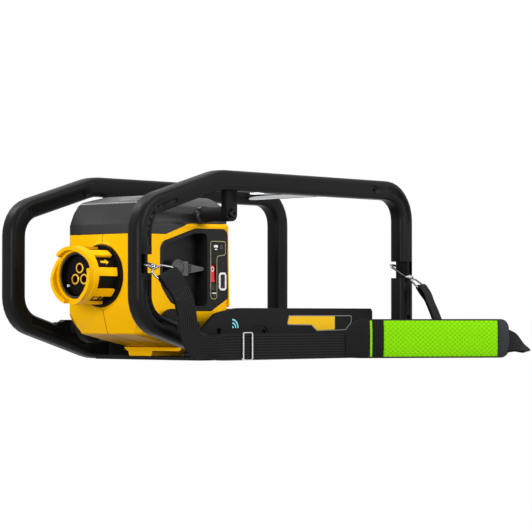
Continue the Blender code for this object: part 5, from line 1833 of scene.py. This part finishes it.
    def webbing(self, end: StrapEnd, rest: Sequence[Station]) -> TapeRun:
        """Makes a run of webbing from an eye to the pad.

        Args:
            end: The end of the strap that it starts from.
            rest: Its stations after the end's own.

        Returns:
            The run from the eye's bar on.
        """
        stations = [end.eye_bar, *end.way, *rest]
        run = TapeRun(
            smooth_path([Vector(point) for point, _ in stations], self.steps_per_span),
            smooth_path([Vector(arm).normalized() for _, arm in stations], self.steps_per_span),
        )
        self.tape(end.run, self.folded(run), end.node, end.holders)
        return run

    def fold_gap(self, s: float) -> float:
        """Distance of the webbing's upper layer from the run's middle line.

        Args:
            s: Distance from the eye's bar.

        Returns:
            The distance, which ends where the tail ends.
        """
        near = min(1.0, s / self.loop_length)
        spread = self.loop_spread * math.sin(math.pi * near)
        gap = self.fold_radius * (1 - near) + self.layer_gap * near + spread
        past = min(1.0, max(0.0, (s - self.fold_length) / self.fold_ease))
        return gap * (1 - past * past * (3 - 2 * past))

    def folded(self, run: TapeRun) -> TapeRun:
        """Carries a run of webbing round the eye's bar at its start and back under itself.

        Args:
            run: The run from the bar on.

        Returns:
            The run from the end of its tail over the bar and on.
        """
        tail = [k for k, s in reversed(list(enumerate(run.lengths))) if s < self.fold_length]
        points = []
        for k in tail:
            left = min(1.0, (self.fold_length - run.lengths[k]) / self.tail_thin)
            thinned = self.tail_least + (1 - self.tail_least) * left
            points.append(run.middles[k] - run.normals[k] * self.fold_gap(run.lengths[k]) * thinned)
        arms = [run.across[k] for k in tail]
        for step in range(1, self.fold_steps):
            angle = math.pi * step / self.fold_steps
            lean = run.normals[0] * math.cos(angle) + run.tangents[0] * math.sin(angle)
            points.append(run.middles[0] - lean * self.fold_radius)
            arms.append(run.across[0])
        points += [m + n * self.fold_gap(s) for m, n, s in zip(run.middles, run.normals, run.lengths)]
        return TapeRun(points, arms + run.across)

    def fold_stitches(self, runs: Sequence[TapeRun]) -> None:
        """Sews each fold together with a crossed box of stitches.

        Args:
            runs: The runs of webbing from their eyes on.
        """
        start, end, half = self.box_start, self.box_end, self.box_half
        lines = (
            ((start, -half), (start, half)), ((end, -half), (end, half)), ((start, -half), (end, half)),
            ((start, half), (end, -half)), ((start, -half), (end, -half)), ((start, half), (end, half)),
        )
        spots = []
        for run in runs:
            for first, second in lines:
                span = Vector(second) - Vector(first)
                number = max(self.box_least, round(self.box_stitches * span.length / (2 * half)))
                for k in range(number):
                    s, a = Vector(first) + span * ((k + 0.5) / number)
                    for side in BOTH:
                        height = side * (self.fold_gap(s) + self.thickness / 2)
                        place = run.at(s, a, height)
                        step = span * self.box_ahead
                        ahead = run.at(s + step.x, a + step.y, height) - place
                        facing = run.at(s, a, height + side * MM) - place
                        spots.append((place, facing.normalized(), ahead.normalized()))
        sizes = {"Thread Radius": self.box_thread, "Stitch Length": self.box_stitch}
        mesh = Stitches(THREAD, **sizes).lay("fold_stitches", spots)
        add_piece("fold_stitches", mesh, [THREAD], Body.CHASSIS, Slot.WEBBING)

    def tape(self, name: str, run: TapeRun, node: str, rests_on: Sequence[str]) -> None:
        """Makes one run of ribbed webbing with its own UV map.

        Args:
            name: Name of the piece.
            run: The line that it follows.
            node: The CAD node that it replaces.
            rests_on: What holds it; not used.
        """
        section = self.tape_section()
        shape = bmesh.new()
        uv = shape.loops.layers.uv.new("tape")
        rows = [
            [shape.verts.new(middle + side * a + normal * h) for a, h in section]
            for middle, side, normal in zip(run.middles, run.across, run.normals)
        ]
        edges = [a for a, _ in section]
        for row, (first, second) in enumerate(zip(rows, rows[1:])):
            near, far = run.lengths[row], run.lengths[row + 1]
            faces = join_loops(shape, first, second)
            for face, left, right in zip(faces, edges, edges[1:] + edges[:1]):
                for loop, place in zip(face.loops, ((left, near), (right, near), (right, far), (left, far))):
                    loop[uv].uv = place
        for row in (rows[0], rows[-1]):
            face = shape.faces.new(row)
            for loop, place in zip(face.loops, section):
                loop[uv].uv = place
        bmesh.ops.recalc_face_normals(shape, faces=shape.faces)
        piece = add_piece(name, finish_mesh(shape, name), [WEBBING], Body.CHASSIS, Slot.WEBBING, node)
        LOG.info("%s is %.1f mm long", name, run.lengths[-1] / MM)

    def tape_section(self) -> list[Point]:
        """Cross-section of the webbing, with a shallow rib for each bundle of warp yarns.

        Returns:
            Points of across and height, in order round the section.
        """
        half, rise = self.webbing_width / 2, self.rib_rise
        flat = self.thickness / 2 - rise
        steps = self.rib_count * self.rib_steps
        inner = half - self.edge_inset
        face = []
        for k in range(steps + 1):
            a = -inner + 2 * inner * k / steps
            face.append((a, flat + rise * (0.5 - 0.5 * math.cos(2 * math.pi * self.rib_count * k / steps))))
        turned, shoulder = half - self.edge_round, flat * self.edge_share
        edge = [(turned, shoulder), (half, 0.0), (turned, -shoulder)]
        return [*face, *edge, *((-a, -h) for a, h in face), *((-a, -h) for a, h in edge)]


@dataclass(frozen=True)
class Lamp:
    """A soft square lamp: where it hangs, the length of its side and its power in watts."""

    name: str
    place: Triple
    size: float
    power: float


@dataclass
class Studio:
    """Plain pale floor, soft lamps and the camera at the photograph's angle."""

    lamps: tuple[Lamp, ...] = (
        Lamp("key lamp", (-2.6, -0.7, 0.32), 1.0, 52),
        Lamp("side lamp", (0.5, -2.5, 0.95), 1.4, 46),
        Lamp("top lamp", (0.0, 0.1, 2.6), 2.0, 56),
        Lamp("back lamp", (-0.62, 1.6, 1.85), 0.7, 15),
    )
    lit_place: Triple = (0.0, -0.05, 0.12)
    sky_light: float = 0.22
    sky_seen: float = 1.0
    floor_half: float = 40.0
    floor_z: float = -0.0003
    floor_colour: str = "909090"
    floor_glow: float = 1.06
    floor_share: float = 0.93
    camera_place: Triple = (-2.539, -2.409, 0.0663)
    ahead: Point = (0.7254, 0.6884)
    focal_px: float = 2258.0
    frame_px: float = 532.0
    centre_px: Point = (214.4, 315.5)
    sensor_mm: float = 36.0

    def build(self) -> None:
        """Sets the view, the world, the floor, the lamps and the camera."""
        scene = bpy.context.scene
        scene.view_settings.view_transform = "Standard"
        self.world(scene)
        self.floor()
        for lamp in self.lamps:
            self.hang(lamp)
        self.camera(scene)

    def world(self, scene: bpy.types.Scene) -> None:
        """A soft even light that shows as white behind the object.

        Args:
            scene: The scene.
        """
        world = bpy.data.worlds.new("studio")
        world.use_nodes = True
        scene.world = world
        tree = world.node_tree
        strength = add_node(
            tree, "ShaderNodeMapRange", {0: self.seen(tree), 3: self.sky_light, 4: self.sky_seen}
        )
        background = tree.nodes["Background"]
        background.inputs["Color"].default_value = WHITE
        tree.links.new(strength.outputs[0], background.inputs["Strength"])

    def seen(self, tree: NodeTree) -> Node:
        """A node that is one for what is seen straight, mirrored or through glass.

        Args:
            tree: The node tree.

        Returns:
            The node.
        """
        rays = add_node(tree, "ShaderNodeLightPath").outputs
        found = rays["Is Camera Ray"]
        for kind in ("Is Glossy Ray", "Is Transmission Ray"):
            found = add_node(tree, "ShaderNodeMath", {0: found, 1: rays[kind]}, operation="MAXIMUM")
        return found

    def floor(self) -> None:
        """A pale floor that fades into the white behind it and keeps a trace of the shadow."""
        mesh = bpy.data.meshes.new("floor")
        half = self.floor_half
        corners = [(x * half, y * half, self.floor_z) for x, y in ((-1, -1), (1, -1), (1, 1), (-1, 1))]
        mesh.from_pydata(corners, [], [(0, 1, 2, 3)])
        floor = new_object("floor", mesh)
        material = bpy.data.materials.new("pale floor")
        material.use_nodes = True
        tree = material.node_tree
        tree.nodes.remove(tree.nodes["Principled BSDF"])
        matt = add_node(tree, "ShaderNodeBsdfDiffuse", {"Color": linear_colour(self.floor_colour)})
        glow = add_node(tree, "ShaderNodeEmission", {"Color": WHITE, "Strength": self.floor_glow})
        share = add_node(
            tree, "ShaderNodeMath", {0: self.seen(tree), 1: self.floor_share}, operation="MULTIPLY"
        )
        mix = add_node(tree, "ShaderNodeMixShader", {0: share, 1: matt, 2: glow})
        tree.links.new(mix.outputs[0], tree.nodes["Material Output"].inputs["Surface"])
        mesh.materials.append(material)

    def hang(self, lamp: Lamp) -> None:
        """Adds a lamp that faces the object.

        Args:
            lamp: The lamp.
        """
        light = bpy.data.lights.new(lamp.name, "AREA")
        light.size = lamp.size
        light.energy = lamp.power
        aim = (Vector(self.lit_place) - Vector(lamp.place)).to_track_quat("-Z", "Y").to_matrix().to_4x4()
        new_object(lamp.name, light).matrix_world = Matrix.Translation(lamp.place) @ aim

    def camera(self, scene: bpy.types.Scene) -> None:
        """Places the camera by the photograph's focal length and centre.

        Args:
            scene: The scene.
        """
        middle = self.frame_px / 2
        yaw = math.atan((middle - self.centre_px[0]) / self.focal_px)
        pitch = math.atan((self.centre_px[1] - middle) / self.focal_px)
        ahead = Vector((*self.ahead, 0))
        right = Vector((self.ahead[1], -self.ahead[0], 0))
        level = ahead * math.cos(yaw) + right * math.sin(yaw)
        direction = level * math.cos(pitch) + Vector((0, 0, math.sin(pitch)))
        data = bpy.data.cameras.new("camera")
        data.sensor_width = self.sensor_mm
        data.lens = self.focal_px * self.sensor_mm / self.frame_px
        camera = new_object("camera", data)
        turn = direction.to_track_quat("-Z", "Y").to_matrix().to_4x4()
        camera.matrix_world = Matrix.Translation(self.camera_place) @ turn
        scene.camera = camera


def main() -> None:
    """Loads the frame and builds the sub-assemblies in order."""
    logging.basicConfig(level=logging.INFO, format="%(name)s %(message)s")
    for old in list(bpy.data.objects):
        bpy.data.objects.remove(old, do_unlink=True)
    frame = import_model()
    Studio().build()
    for assembly in (CarryFrame, Housing, ControlPanel, Outlet, ShoulderStrap, ShoulderPad):
        assembly(frame["nodes"]).build()


if __name__ == "__main__":
    main()
